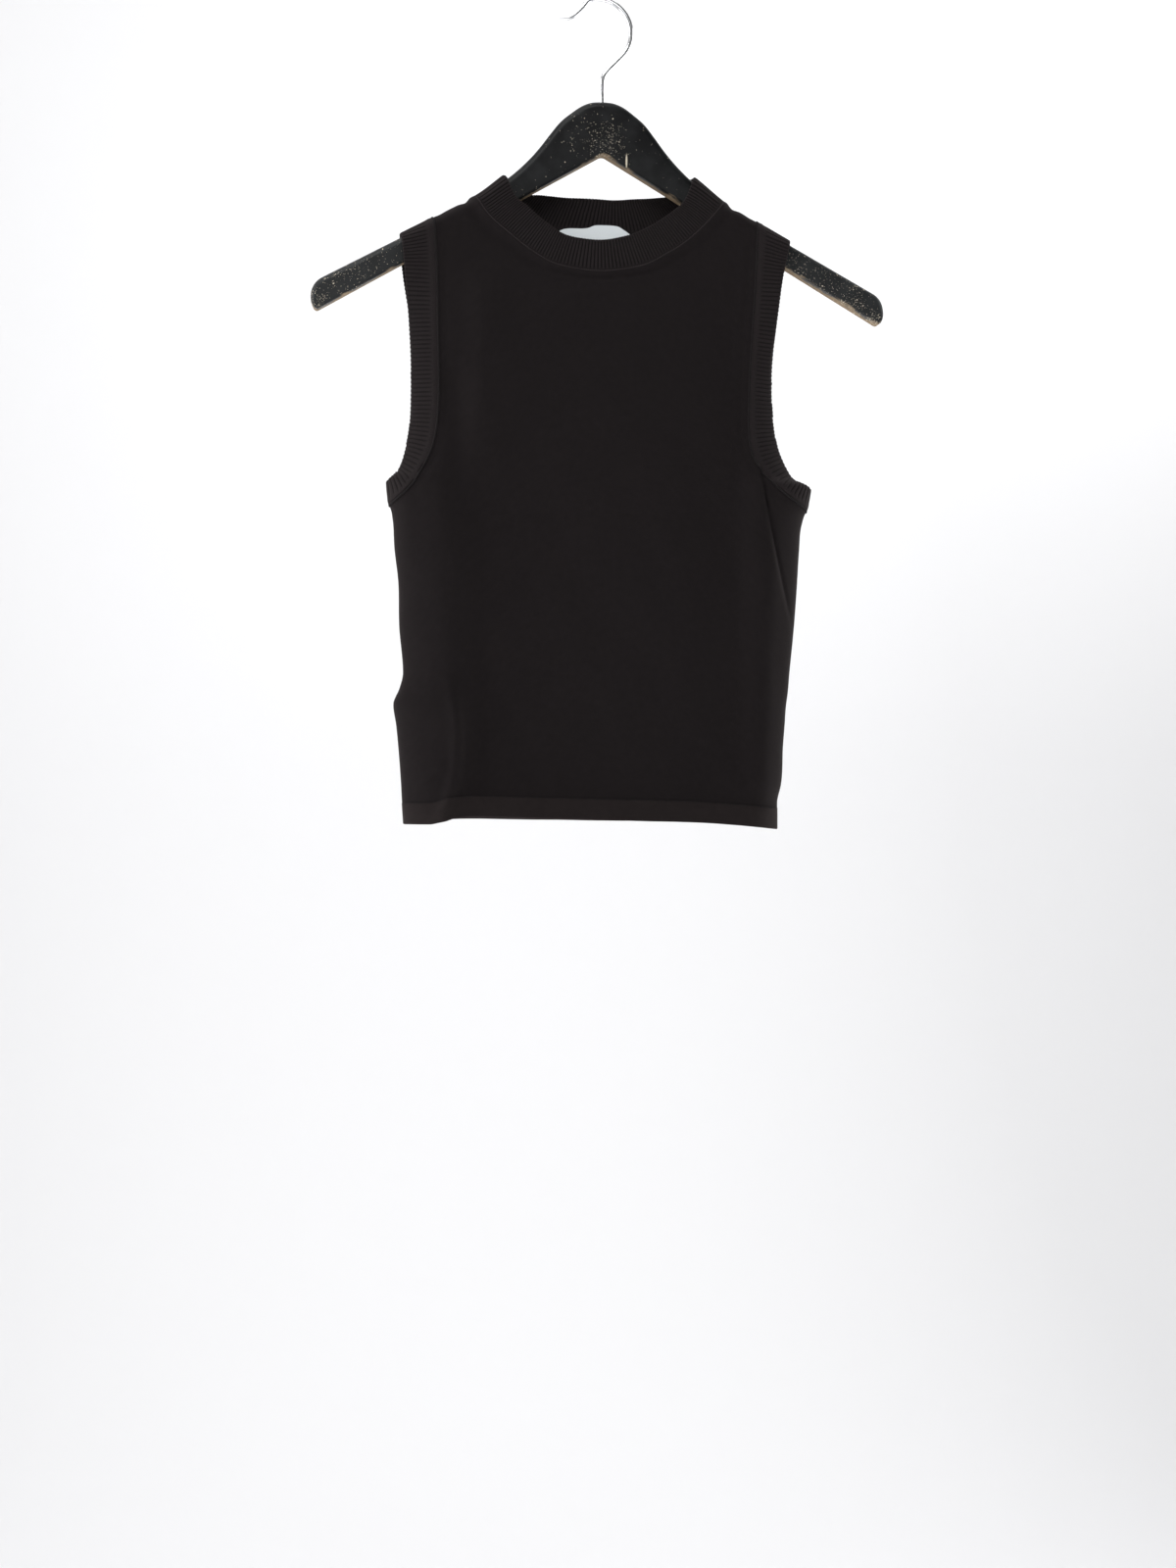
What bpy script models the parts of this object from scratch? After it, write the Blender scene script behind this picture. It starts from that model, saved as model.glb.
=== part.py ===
"""A sleeveless fine-knit sweater on a black wooden hanger with a wire hook.

Metres, +Z up. The front faces -Y, and the origin is the inner top of the hook, where a rail carries
it. A height is given as a drop, the distance below that origin. The cloth is a thin wall: front and
back hang from the fold that the hanger's arms make at the shoulders, and meet at the side seams.
"""

import math

import bmesh
import bpy
import numpy as np
from mathutils import Matrix, Vector

# Hook: one bent wire, screwed into the hanger's top.
WIRE_DIAMETER = 0.004
HOOK_RADIUS = 0.0254
SHANK_X = 0.003
SHANK_BEND_DROP = 0.063
SHANK_DEPTH_IN_WOOD = 0.010
HOOK_ARC_START, HOOK_ARC_END, HOOK_ARC_STEP = -32, 103, 15
HOOK_NECK = ((0.0040, 0.0575), (0.0075, 0.0523), (0.0140, 0.0456))
HOOK_TIP = ((-0.0134, 0.0067), (-0.0210, 0.0128), (-0.0294, 0.0146))

# Hanger: a flat piece of wood, its two arms falling from a bell-shaped middle.
WOOD_THICKNESS = 0.013
WOOD_TILT = 0.005
WOOD_TOP_AT_CENTRE = 0.1038
WOOD_TOP_SLOPE = 0.536
WOOD_UNDER_AT_CENTRE = 0.1180
WOOD_UNDER_SLOPE = 0.575
NOTCH_HALF_WIDTH = 0.010
ARM_HALF_SPAN = 0.222
TIP_RADIUS = 0.016
TOP_EDGE_RADIUS = 0.0055
UNDER_EDGE_RADIUS = 0.0018
BELL = (
    # distance from the shank, drop of the wood's top
    (0.0000, 0.0777),
    (0.0090, 0.0786),
    (0.0163, 0.0815),
    (0.0235, 0.0865),
    (0.0335, 0.0950),
    (0.0407, 0.1040),
    (0.0475, 0.1130),
    (0.0551, 0.1220),
    (0.0646, 0.1315),
    (0.0760, 0.1410),
    (0.0900, 0.1510),
)
BELL_BLEND = (0.076, 0.090)
UNDER_STATIONS = (0, 0.0035, 0.007, 0.010, 0.040, 0.080, 0.120, 0.160, 0.200)
TOP_STATIONS = (0.190, 0.165, 0.140, 0.115, 0.097)
TIP_ANGLES = (-46, -36, -24, -12, 0, 12, 24, 36, 48, 60)
TIP_EDGE_BLEND = (-46, 10)

# Cloth thicknesses: one layer of jersey, a doubled rib band, a turned-up hem and the label.
JERSEY = 0.0014
RIB = 0.0024
HEM = 0.0022
LABEL = 0.0010
SEAM_GAP = 0.0003

# The cloth's fold over the arms: its radius, and how far its middle stands above the wood.
FOLD_RADIUS = 0.009
FOLD_LIFT = 0.0023
NECK_LIFT = 0.0065
NECK_LIFT_ENDS = (0.066, 0.100)
VIRTUAL_FOLD_HALF_WIDTH = 0.050

SIDE_ROUNDING = 0.055
MEAN_WIDTH = 0.320
UNDERARM_DROP = 0.371
ARMHOLE_HALF_DEPTH = 0.0095
ARMHOLE_ROUND_START = 0.322
HEM_HEIGHT = 0.016

OUTLINE = (
    # drop, left edge, right edge: the armholes' free edges, then the side seams
    (0.140, -0.1525, 0.1505),
    (0.187, -0.1519, 0.1475),
    (0.205, -0.1497, 0.1436),
    (0.223, -0.1480, 0.1405),
    (0.246, -0.1460, 0.1380),
    (0.267, -0.1447, 0.1355),
    (0.290, -0.1442, 0.1340),
    (0.313, -0.1443, 0.1345),
    (0.328, -0.1451, 0.1360),
    (0.343, -0.1473, 0.1395),
    (0.3575, -0.1508, 0.1470),
    (0.3645, -0.1542, 0.1528),
    (0.371, -0.1612, 0.1661),
    (0.385, -0.1600, 0.1636),
    (0.400, -0.1568, 0.1588),
    (0.420, -0.1556, 0.1570),
    (0.450, -0.1524, 0.1551),
    (0.480, -0.1519, 0.1528),
    (0.516, -0.1490, 0.1492),
    (0.528, -0.1517, 0.1482),
    (0.540, -0.1563, 0.1466),
    (0.555, -0.1542, 0.1455),
    (0.570, -0.1527, 0.1443),
    (0.600, -0.1505, 0.1427),
    (0.615, -0.1497, 0.1396),
    (0.640, -0.1480, 0.1396),
)

HALF_DEPTH = (
    # drop, distance of front and back from the middle plane
    (0.140, 0.0090),
    (0.190, 0.0096),
    (0.250, 0.0120),
    (0.320, 0.0165),
    (0.380, 0.0200),
    (0.450, 0.0205),
    (0.520, 0.0195),
    (0.600, 0.0205),
    (0.640, 0.0210),
)

ARMHOLE_BACK_SHIFT = (
    # drop, how far right of the front's the back's left armhole stands, and its right armhole
    (0.180, 0.0000, 0.0000),
    (0.215, 0.0000, 0.0040),
    (0.250, 0.0020, 0.0030),
    (0.290, 0.0026, 0.0005),
    (0.340, 0.0020, 0.0000),
    (0.365, 0.0000, 0.0000),
)

# In the next tables a drop above the fold stands for the fold itself.
ARMHOLE_LEFT = (
    # free edge x, free edge drop, seam x, seam drop
    (-0.1520, 0.150, -0.1304, 0.150),
    (-0.1490, 0.215, -0.1275, 0.222),
    (-0.1459, 0.250, -0.1270, 0.256),
    (-0.1442, 0.290, -0.1266, 0.296),
    (-0.1447, 0.322, -0.1280, 0.329),
    (-0.1482, 0.347, -0.1350, 0.356),
    (-0.1542, 0.3645, -0.1470, 0.376),
    (-0.1612, 0.371, -0.1600, 0.3895),
)
ARMHOLE_RIGHT = (
    # free edge x, free edge drop, seam x, seam drop
    (0.1503, 0.150, 0.1264, 0.150),
    (0.1420, 0.215, 0.1235, 0.222),
    (0.1377, 0.250, 0.1212, 0.256),
    (0.1340, 0.290, 0.1185, 0.296),
    (0.1354, 0.322, 0.1175, 0.330),
    (0.1410, 0.347, 0.1255, 0.359),
    (0.1528, 0.3645, 0.1435, 0.3755),
    (0.1661, 0.371, 0.1630, 0.388),
)
NECK_FRONT = (
    # free edge x, free edge drop, seam x, seam drop
    (-0.0737, 0.130, -0.0969, 0.130),
    (-0.0665, 0.152, -0.0870, 0.1665),
    (-0.0560, 0.1615, -0.0735, 0.1790),
    (-0.0420, 0.1730, -0.0560, 0.1925),
    (-0.0240, 0.1828, -0.0315, 0.2050),
    (0.0000, 0.1850, 0.0000, 0.2085),
    (0.0220, 0.1805, 0.0300, 0.2035),
    (0.0410, 0.1715, 0.0545, 0.1910),
    (0.0560, 0.1610, 0.0725, 0.1775),
    (0.0670, 0.1490, 0.0880, 0.1615),
    (0.0745, 0.130, 0.0990, 0.130),
)
NECK_BACK = (
    # free edge x, free edge drop, seam x, seam drop
    (-0.0737, 0.130, -0.0969, 0.130),
    (-0.0600, 0.1465, -0.0820, 0.1630),
    (-0.0440, 0.1480, -0.0620, 0.1685),
    (-0.0200, 0.1492, -0.0300, 0.1712),
    (0.0080, 0.1495, 0.0050, 0.1718),
    (0.0300, 0.1480, 0.0400, 0.1705),
    (0.0467, 0.1465, 0.0640, 0.1665),
    (0.0620, 0.1430, 0.0830, 0.1600),
    (0.0745, 0.130, 0.0990, 0.130),
)
HEM_EDGE = (
    # x, drop of the front's lower edge, drop of the back's
    (-0.150, 0.6304, 0.6304),
    (-0.131, 0.6303, 0.6300),
    (-0.117, 0.6266, 0.6276),
    (-0.100, 0.6252, 0.6268),
    (-0.050, 0.6264, 0.6276),
    (0.000, 0.6277, 0.6284),
    (0.079, 0.6300, 0.6300),
    (0.110, 0.6322, 0.6320),
    (0.140, 0.6350, 0.6350),
)
FOLDS = (
    # face, x and drop of the upper end, x and drop of the lower end, half width, rise
    ("front", -0.098, 0.300, -0.101, 0.600, 0.018, -0.0022),
    ("front", 0.102, 0.250, 0.106, 0.420, 0.014, -0.0018),
    ("front", 0.120, 0.350, 0.149, 0.480, 0.010, 0.0030),
    ("front", 0.135, 0.345, 0.160, 0.460, 0.009, -0.0030),
    ("front", -0.112, 0.530, -0.116, 0.620, 0.010, 0.0022),
    ("back", 0.090, 0.330, 0.098, 0.600, 0.018, -0.0024),
    ("back", -0.104, 0.280, -0.096, 0.520, 0.016, -0.0020),
    ("back", -0.128, 0.360, -0.140, 0.500, 0.011, 0.0028),
)
# Along its length a fold grows and dies between these fractions, and it dies this near the side seams.
FOLD_GROWS = (-0.15, 0.25)
FOLD_DIES = (0.75, 1.15)
FOLD_SIDE_FADE = 0.35

LABEL_WIDTH = 0.056
LABEL_HEIGHT = 0.028
LABEL_CENTRE_X = -0.0015
LABEL_TOP_DROP = 0.1712
LABEL_CLEARANCE = 0.0005
LABEL_COLUMNS, LABEL_ROWS = 6, 3

# Grid of a panel: columns over each shoulder and under the neck, rows beside the armhole and below it.
SHOULDER_COLUMNS = 4
NECK_COLUMNS = 22
NECK_COLUMN_EASE = 0.62
FOLD_ROWS = (0, 0.0225, 0.045, 0.067, 0.11, 0.17)
UPPER_ROWS = FOLD_ROWS + (0.24, 0.32, 0.40, 0.48, 0.56, 0.64, 0.72, 0.79, 0.85, 0.90, 0.94, 0.975, 1)
LOWER_ROWS = 10
BAND_COLUMNS = 2
PROBE = 1e-6


def column(table, index):
    return np.array([row[index] for row in table])


def smooth(keys, values, at):
    """The values at `at` on a smooth curve through the points, level at its peaks."""
    keys, values = np.asarray(keys, float), np.asarray(values, float)
    steps = np.diff(values) / np.diff(keys)
    before, after = np.append(steps[0], steps), np.append(steps, steps[-1])
    steepest = 3 * np.minimum(np.abs(before), np.abs(after))
    slopes = np.where(before * after > 0, np.clip(np.gradient(values, keys), -steepest, steepest), 0)
    at = np.clip(at, keys[0], keys[-1])
    i = np.clip(np.searchsorted(keys, at) - 1, 0, len(keys) - 2)
    span = keys[i + 1] - keys[i]
    t = (at - keys[i]) / span
    start = values[i] * (1 + 2 * t) + slopes[i] * span * t
    end = values[i + 1] * (3 - 2 * t) - slopes[i + 1] * span * (1 - t)
    return start * (1 - t) ** 2 + end * t**2


def soft_distance(x, blend):
    """The distance from zero, rounded off nearer than `blend`."""
    x = np.abs(x)
    return np.where(x > blend, x, (x**2 + blend**2) / (2 * blend))


def ramp(low, high, at):
    t = np.clip((np.asarray(at) - low) / (high - low), 0, 1)
    return t * t * (3 - 2 * t)


# The cloth's surface. A point on it is an x and the distance down the cloth from the shoulder fold.


def fold_drop(x):
    """Drop of the fold over the arms, and of its imagined line across the neck."""
    away = np.asarray(x) - SHANK_X
    wood = WOOD_TOP_AT_CENTRE + WOOD_TOP_SLOPE * soft_distance(away, VIRTUAL_FOLD_HALF_WIDTH)
    lift = FOLD_LIFT + NECK_LIFT * (1 - ramp(*NECK_LIFT_ENDS, np.abs(away)))
    return wood - lift - WOOD_TILT * away


def down_from_drop(x, drop):
    """Distance down the cloth at that x and drop. A drop above the fold counts as the fold."""
    below = np.maximum(drop - fold_drop(x), 0)
    on_fold = FOLD_RADIUS * np.arccos(np.clip(1 - below / FOLD_RADIUS, -1, 1))
    return np.where(below < FOLD_RADIUS, on_fold, below + (math.pi / 2 - 1) * FOLD_RADIUS)


def armhole_half_depth(drop):
    t = np.clip((drop - ARMHOLE_ROUND_START) / (UNDERARM_DROP - ARMHOLE_ROUND_START), 0, 1)
    return ARMHOLE_HALF_DEPTH * np.sqrt(1 - t**2)


def fold_rise(face, x, drop):
    """How far the soft folds lift the cloth at a point."""
    rise = 0
    for where, x_top, drop_top, x_low, drop_low, half_width, height in FOLDS:
        if where != face:
            continue
        t = np.clip((drop - drop_top) / (drop_low - drop_top), -1, 2)
        across = (x - (x_top + (x_low - x_top) * t)) / half_width
        along = ramp(*FOLD_GROWS, t) * (1 - ramp(*FOLD_DIES, t))
        rise = rise + height * np.exp(-(across**2)) * along
    return rise


def cloth_point(face, x, down):
    """The middle of the cloth: points of shape (..., 3)."""
    turn = np.clip(down / FOLD_RADIUS, -math.pi / 2, math.pi / 2)
    straight = np.maximum(down - math.pi / 2 * FOLD_RADIUS, 0)
    drop = fold_drop(x) + FOLD_RADIUS * (1 - np.cos(turn)) + straight
    left, right = (smooth(column(OUTLINE, 0), column(OUTLINE, side), drop) for side in (1, 2))
    inset = np.clip(np.minimum(x - left, right - x) / SIDE_ROUNDING, 0, 1)
    full = smooth(column(HALF_DEPTH, 0), column(HALF_DEPTH, 1), drop)
    full = full + fold_rise(face, x, drop) * ramp(0, FOLD_SIDE_FADE, inset)
    edge = np.minimum(armhole_half_depth(drop), full)
    round_in = 1 - (1 - inset) ** 2
    half = np.sqrt(edge**2 + (full**2 - edge**2) * round_in) * np.sin(turn)
    return np.stack([x, half if face == "back" else -half, -drop], axis=-1)


def cloth_normal(face, x, down):
    """Unit normals that point away from the hollow between front and back."""
    inward = np.where(x < 0, 1.0, -1.0)
    here = cloth_point(face, x, down)
    along_x = (cloth_point(face, x + inward * PROBE, down) - here) * inward[..., None]
    along_down = cloth_point(face, x, down + PROBE) - cloth_point(face, x, down - PROBE)
    normal = np.cross(along_x, along_down)
    normal /= np.linalg.norm(normal, axis=-1, keepdims=True)
    return normal if face == "back" else -normal


# Seam lines and free edges, as (x, down) along the cloth.


def edge_pair(table, at, shift=0):
    """The free edge and the seam of a band at fractions of its length, each of shape (len(at), 2)."""
    curves = []
    for c in (0, 2):
        x, drop = column(table, c), column(table, c + 1)
        if shift:
            x = x + smooth(column(ARMHOLE_BACK_SHIFT, 0), column(ARMHOLE_BACK_SHIFT, shift), drop)
        curves.append(np.stack([x, down_from_drop(x, drop)], axis=-1))
    lengths = np.linalg.norm(np.diff(curves[1], axis=0), axis=1)
    keys = np.concatenate([[0], np.cumsum(lengths)]) / lengths.sum()
    return [np.stack([smooth(keys, curve[:, k], at) for k in (0, 1)], axis=-1) for curve in curves]


def onto_side_seam(point, side):
    """Moves the last row's point along x onto the side seam."""
    x, down = point
    drop = fold_drop(x) + down - (math.pi / 2 - 1) * FOLD_RADIUS
    x = smooth(column(OUTLINE, 0), column(OUTLINE, side), drop)
    return np.array([x, down_from_drop(x, drop)])


def across_band(table, at, side=0, shift=0):
    """A band's grid of (x, down): rows along it, columns from the free edge to just short of its seam."""
    free, seam = edge_pair(table, at, shift)
    width = np.linalg.norm(seam - free, axis=1)
    end = 1 - SEAM_GAP / 2 / width
    steps = np.linspace(0, 1, BAND_COLUMNS + 1)
    grid = np.stack([free + (seam - free) * (end * step)[:, None] for step in steps], axis=1)
    if side:
        grid[-1] = [onto_side_seam(point, side) for point in grid[-1]]
    return grid


def past_band(table, at, shift=0):
    """The panel's edge beside a band, half the seam gap inside the seam."""
    free, seam = edge_pair(table, at, shift)
    width = np.linalg.norm(seam - free, axis=1, keepdims=True)
    return seam + (seam - free) / width * SEAM_GAP / 2


def eased(count):
    """Fractions from 0 to 1, closer together near both ends."""
    t = np.linspace(0, 1, count + 1)
    return t - NECK_COLUMN_EASE * np.sin(2 * math.pi * t) / (2 * math.pi)


def column_fractions():
    """Where a panel's columns stand across it: dense where the sides round away, then even."""
    angles = np.linspace(0, math.pi / 2, SHOULDER_COLUMNS + 1)
    side = (1 - np.cos(angles)) * SIDE_ROUNDING / MEAN_WIDTH
    middle = np.linspace(side[-1], 1 - side[-1], NECK_COLUMNS + 1)
    return np.concatenate([side[:-1], middle, 1 - side[-2::-1]])


def hem_drops(face, fractions):
    """Drops of a lower edge at fractions of the way from the left side seam to the right."""
    x = HEM_EDGE[0][0] + (HEM_EDGE[-1][0] - HEM_EDGE[0][0]) * fractions
    return smooth(column(HEM_EDGE, 0), column(HEM_EDGE, 1 if face == "front" else 2), x)


def side_to_side(drops, fractions):
    """Points at these fractions of the way from the left side seam to the right, as (x, down)."""
    left, right = (smooth(column(OUTLINE, 0), column(OUTLINE, side), drops) for side in (1, 2))
    x = left + (right - left) * fractions
    return np.stack([x, down_from_drop(x, drops)], axis=-1)


def upper_block(face, fractions):
    """A panel from its shoulders and neck down to the underarms, blended from its four edges."""
    rows = np.array(UPPER_ROWS)
    shifts = (1, 2) if face == "back" else (0, 0)
    left, right = past_band(ARMHOLE_LEFT, rows, shifts[0]), past_band(ARMHOLE_RIGHT, rows, shifts[1])
    neck = past_band(NECK_FRONT if face == "front" else NECK_BACK, eased(NECK_COLUMNS))
    left_shoulder = np.linspace(left[0], neck[0], SHOULDER_COLUMNS + 1)
    right_shoulder = np.linspace(neck[-1], right[0], SHOULDER_COLUMNS + 1)
    top = np.concatenate([left_shoulder[:-1], neck, right_shoulder[1:]])
    shoulder = np.r_[0 : SHOULDER_COLUMNS + 1, len(top) - SHOULDER_COLUMNS - 1 : len(top)]
    top[shoulder, 1] = SEAM_GAP / 2
    left[-1], right[-1] = onto_side_seam(left[-1], 1), onto_side_seam(right[-1], 2)
    left[0], right[0] = top[0], top[-1]
    ends = [fold_drop(p[0]) + p[1] - (math.pi / 2 - 1) * FOLD_RADIUS for p in (left[-1], right[-1])]
    bottom = side_to_side(ends[0] + (ends[1] - ends[0]) * fractions, fractions)
    v, f = rows[:, None, None], fractions[None, :, None]
    corners = (1 - v) * ((1 - f) * top[0] + f * top[-1]) + v * ((1 - f) * bottom[0] + f * bottom[-1])
    return (1 - v) * top[None] + v * bottom[None] + (1 - f) * left[:, None] + f * right[:, None] - corners


def lower_block(face, first_row, fractions):
    """A panel from the underarms down to the hem's seam."""
    x, down = first_row[:, 0], first_row[:, 1]
    start = fold_drop(x) + down - (math.pi / 2 - 1) * FOLD_RADIUS
    end = hem_drops(face, fractions) - HEM_HEIGHT - SEAM_GAP / 2
    steps = np.linspace(0, 1, LOWER_ROWS + 1)[1:]
    return np.array([side_to_side(start + (end - start) * t, fractions) for t in steps])


def keep_seam_gap(points, normals, face):
    """Moves a panel's first and last columns half the seam gap off the middle plane, at the side seam."""
    sign = 1 if face == "back" else -1
    for side in (0, -1):
        on_seam = np.abs(points[:, side, 1]) < SEAM_GAP / 2
        points[on_seam, side, 1] = sign * SEAM_GAP / 2
        normals[on_seam, side] = (-1 if side == 0 else 1, 0, 0)


# Solids.


def material(name, colour, roughness, metallic=0.0):
    made = bpy.data.materials.new(name)
    made.use_nodes = True
    shader = made.node_tree.nodes["Principled BSDF"]
    shader.inputs["Base Color"].default_value = (*colour, 1)
    shader.inputs["Roughness"].default_value = roughness
    shader.inputs["Metallic"].default_value = metallic
    return made


def add_object(name, shape, finish):
    """Turns a bmesh into an object with its faces pointing out and its round places shaded smooth."""
    bmesh.ops.recalc_face_normals(shape, faces=shape.faces)
    mesh = bpy.data.meshes.new(name)
    shape.to_mesh(mesh)
    shape.free()
    mesh.shade_smooth()
    mesh.set_sharp_from_angle(angle=math.radians(40))
    mesh.materials.append(finish)
    obj = bpy.data.objects.new(name, mesh)
    bpy.context.scene.collection.objects.link(obj)
    return obj


def wall(name, points, normals, thickness, finish, ring=False):
    """A closed cloth wall about a grid of middle points. A ring joins its last row to its first."""
    shape = bmesh.new()
    rows, columns = points.shape[:2]
    outer, inner = (
        [[shape.verts.new(p) for p in row] for row in points + normals * offset]
        for offset in (thickness / 2, -thickness / 2)
    )
    last = rows if ring else rows - 1
    for i in range(last):
        low = (i + 1) % rows
        for layer in (outer, inner):
            for j in range(columns - 1):
                shape.faces.new((layer[i][j], layer[low][j], layer[low][j + 1], layer[i][j + 1]))
        for j in (0, columns - 1):
            shape.faces.new((outer[i][j], inner[i][j], inner[low][j], outer[low][j]))
    if not ring:
        for i in (0, rows - 1):
            for j in range(columns - 1):
                shape.faces.new((outer[i][j], inner[i][j], inner[i][j + 1], outer[i][j + 1]))
    return add_object(name, shape, finish)


def on_cloth(face, grid):
    return cloth_point(face, grid[..., 0], grid[..., 1]), cloth_normal(face, grid[..., 0], grid[..., 1])


def band(name, front_table, back_table, at, finish, side=0):
    """A ring of rib: along the front edge, then back along the back edge."""
    front = on_cloth("front", across_band(front_table, at, side))
    back = on_cloth("back", across_band(back_table, at, side, shift=side))
    points, normals = (np.concatenate([f, b[-2:0:-1]]) for f, b in zip(front, back))
    points[0, :, 1] = 0
    points[len(at) - 1, :, 1] = 0
    return wall(name, points, normals, RIB, finish, ring=True)


def panel_and_hem(face, jersey):
    fractions = column_fractions()
    upper = upper_block(face, fractions)
    lower = lower_block(face, upper[-1], fractions)
    points, normals = on_cloth(face, np.concatenate([upper, lower]))
    keep_seam_gap(points, normals, face)
    wall(face + "_panel", points, normals, JERSEY, jersey)

    edge = hem_drops(face, fractions)
    seam = edge - HEM_HEIGHT + SEAM_GAP / 2
    rows = np.array([side_to_side(seam + (edge - seam) * t, fractions) for t in (0, 0.5, 1)])
    points, normals = on_cloth(face, rows)
    keep_seam_gap(points, normals, face)
    wall(face + "_hem", points, normals, HEM, jersey)


def label(finish):
    """A bare label, its top edge at the back neck seam, hanging just inside the back."""
    x = LABEL_CENTRE_X + np.linspace(-0.5, 0.5, LABEL_COLUMNS + 1) * LABEL_WIDTH
    drops = LABEL_TOP_DROP + np.linspace(0, 1, LABEL_ROWS + 1) * LABEL_HEIGHT
    x, drops = np.meshgrid(x, drops)
    points, normals = on_cloth("back", np.stack([x, down_from_drop(x, drops)], axis=-1))
    points -= normals * (RIB / 2 + LABEL_CLEARANCE + LABEL / 2)
    wall("neck_label", points, normals, LABEL, finish)


def wood_top(away):
    """Drop of the wood's top edge at a distance from the shank."""
    on_bell = smooth(column(BELL, 0), column(BELL, 1), away)
    blend = ramp(*BELL_BLEND, away)
    return on_bell * (1 - blend) + (WOOD_TOP_AT_CENTRE + WOOD_TOP_SLOPE * away) * blend


def half_outline():
    """The hanger's right half as (distance from the shank, drop, edge radius), from notch to bell."""
    under = []
    for away in UNDER_STATIONS:
        rounded = float(soft_distance(away, NOTCH_HALF_WIDTH))
        under.append((away, WOOD_UNDER_AT_CENTRE + WOOD_UNDER_SLOPE * rounded, UNDER_EDGE_RADIUS))
    # The tip is an arc that starts on the under edge and ends tangent to the top edge.
    centre_x = ARM_HALF_SPAN - TIP_RADIUS
    top_normal = math.hypot(1, WOOD_TOP_SLOPE)
    centre_drop = WOOD_TOP_AT_CENTRE + WOOD_TOP_SLOPE * centre_x + TIP_RADIUS * top_normal
    tip = []
    for degrees in TIP_ANGLES:
        angle = math.radians(degrees)
        blend = float(ramp(*TIP_EDGE_BLEND, degrees))
        radius = UNDER_EDGE_RADIUS + (TOP_EDGE_RADIUS - UNDER_EDGE_RADIUS) * blend
        away = centre_x + TIP_RADIUS * math.cos(angle)
        tip.append((away, centre_drop - TIP_RADIUS * math.sin(angle), radius))
    top = [(away, float(wood_top(away)), TOP_EDGE_RADIUS) for away in TOP_STATIONS]
    bell = [(away, float(wood_top(away)), TOP_EDGE_RADIUS) for away, _ in reversed(BELL)]
    return under + tip + top + bell


def hanger(finish):
    """The outline as a flat slab with rounded edges, made of rings that shrink towards both faces."""
    right = half_outline()
    left = [(-x, drop, radius) for x, drop, radius in right[-2:0:-1]]
    outline = right + left
    points = np.array([(SHANK_X + x, WOOD_TILT * x - drop) for x, drop, _ in outline])
    radius = np.array([r for _, _, r in outline])
    tangent = np.roll(points, -1, axis=0) - np.roll(points, 1, axis=0)
    tangent /= np.linalg.norm(tangent, axis=1, keepdims=True)
    inward = np.stack([-tangent[:, 1], tangent[:, 0]], axis=1)
    shape = bmesh.new()
    rings = []
    for face in (-1, 1):
        angles = np.radians((90, 60, 30, 0))
        for angle in angles if face < 0 else angles[::-1]:
            ring = points + inward * (radius * (1 - math.cos(angle)))[:, None]
            y = face * (WOOD_THICKNESS / 2 - radius * (1 - math.sin(angle)))
            rings.append([shape.verts.new((p[0], depth, p[1])) for p, depth in zip(ring, y)])
    for here, there in zip(rings, rings[1:]):
        for k in range(len(here)):
            after = (k + 1) % len(here)
            shape.faces.new((here[k], here[after], there[after], there[k]))
    shape.faces.new(rings[0])
    shape.faces.new(rings[-1])
    body = add_object("hanger_body", shape, finish)

    cutter_shape = bmesh.new()
    depth = SHANK_DEPTH_IN_WOOD + 0.001
    bmesh.ops.create_cone(
        cutter_shape,
        cap_ends=True,
        segments=24,
        radius1=WIRE_DIAMETER / 2 + SEAM_GAP,
        radius2=WIRE_DIAMETER / 2 + SEAM_GAP,
        depth=2 * depth,
        matrix=Matrix.Translation((SHANK_X, 0, -BELL[0][1])),
    )
    cutter = add_object("hook_hole", cutter_shape, finish)
    cutter.hide_render = True
    cutter.display_type = "WIRE"
    cut = body.modifiers.new("hook_hole", "BOOLEAN")
    cut.object = cutter
    cut.solver = "EXACT"


def hook(finish):
    """A wire: straight out of the wood, a bend, the round hook and its turned-out tip."""
    centre_drop = HOOK_RADIUS - WIRE_DIAMETER / 2
    route = [(SHANK_X, BELL[0][1] + SHANK_DEPTH_IN_WOOD), (SHANK_X, BELL[0][1]), (SHANK_X, SHANK_BEND_DROP)]
    route += HOOK_NECK
    for degrees in range(HOOK_ARC_START, HOOK_ARC_END + 1, HOOK_ARC_STEP):
        angle = math.radians(degrees)
        route.append((HOOK_RADIUS * math.cos(angle), centre_drop - HOOK_RADIUS * math.sin(angle)))
    route += HOOK_TIP
    curve = bpy.data.curves.new("hook", "CURVE")
    curve.dimensions = "3D"
    curve.bevel_depth = WIRE_DIAMETER / 2
    curve.bevel_resolution = 3
    curve.resolution_u = 4
    curve.use_fill_caps = True
    spline = curve.splines.new("BEZIER")
    spline.bezier_points.add(len(route) - 1)
    for point, (x, drop) in zip(spline.bezier_points, route):
        point.co = Vector((x, 0, -drop))
        point.handle_left_type = point.handle_right_type = "AUTO"
    curve.materials.append(finish)
    bpy.context.scene.collection.objects.link(bpy.data.objects.new("hook", curve))


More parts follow.
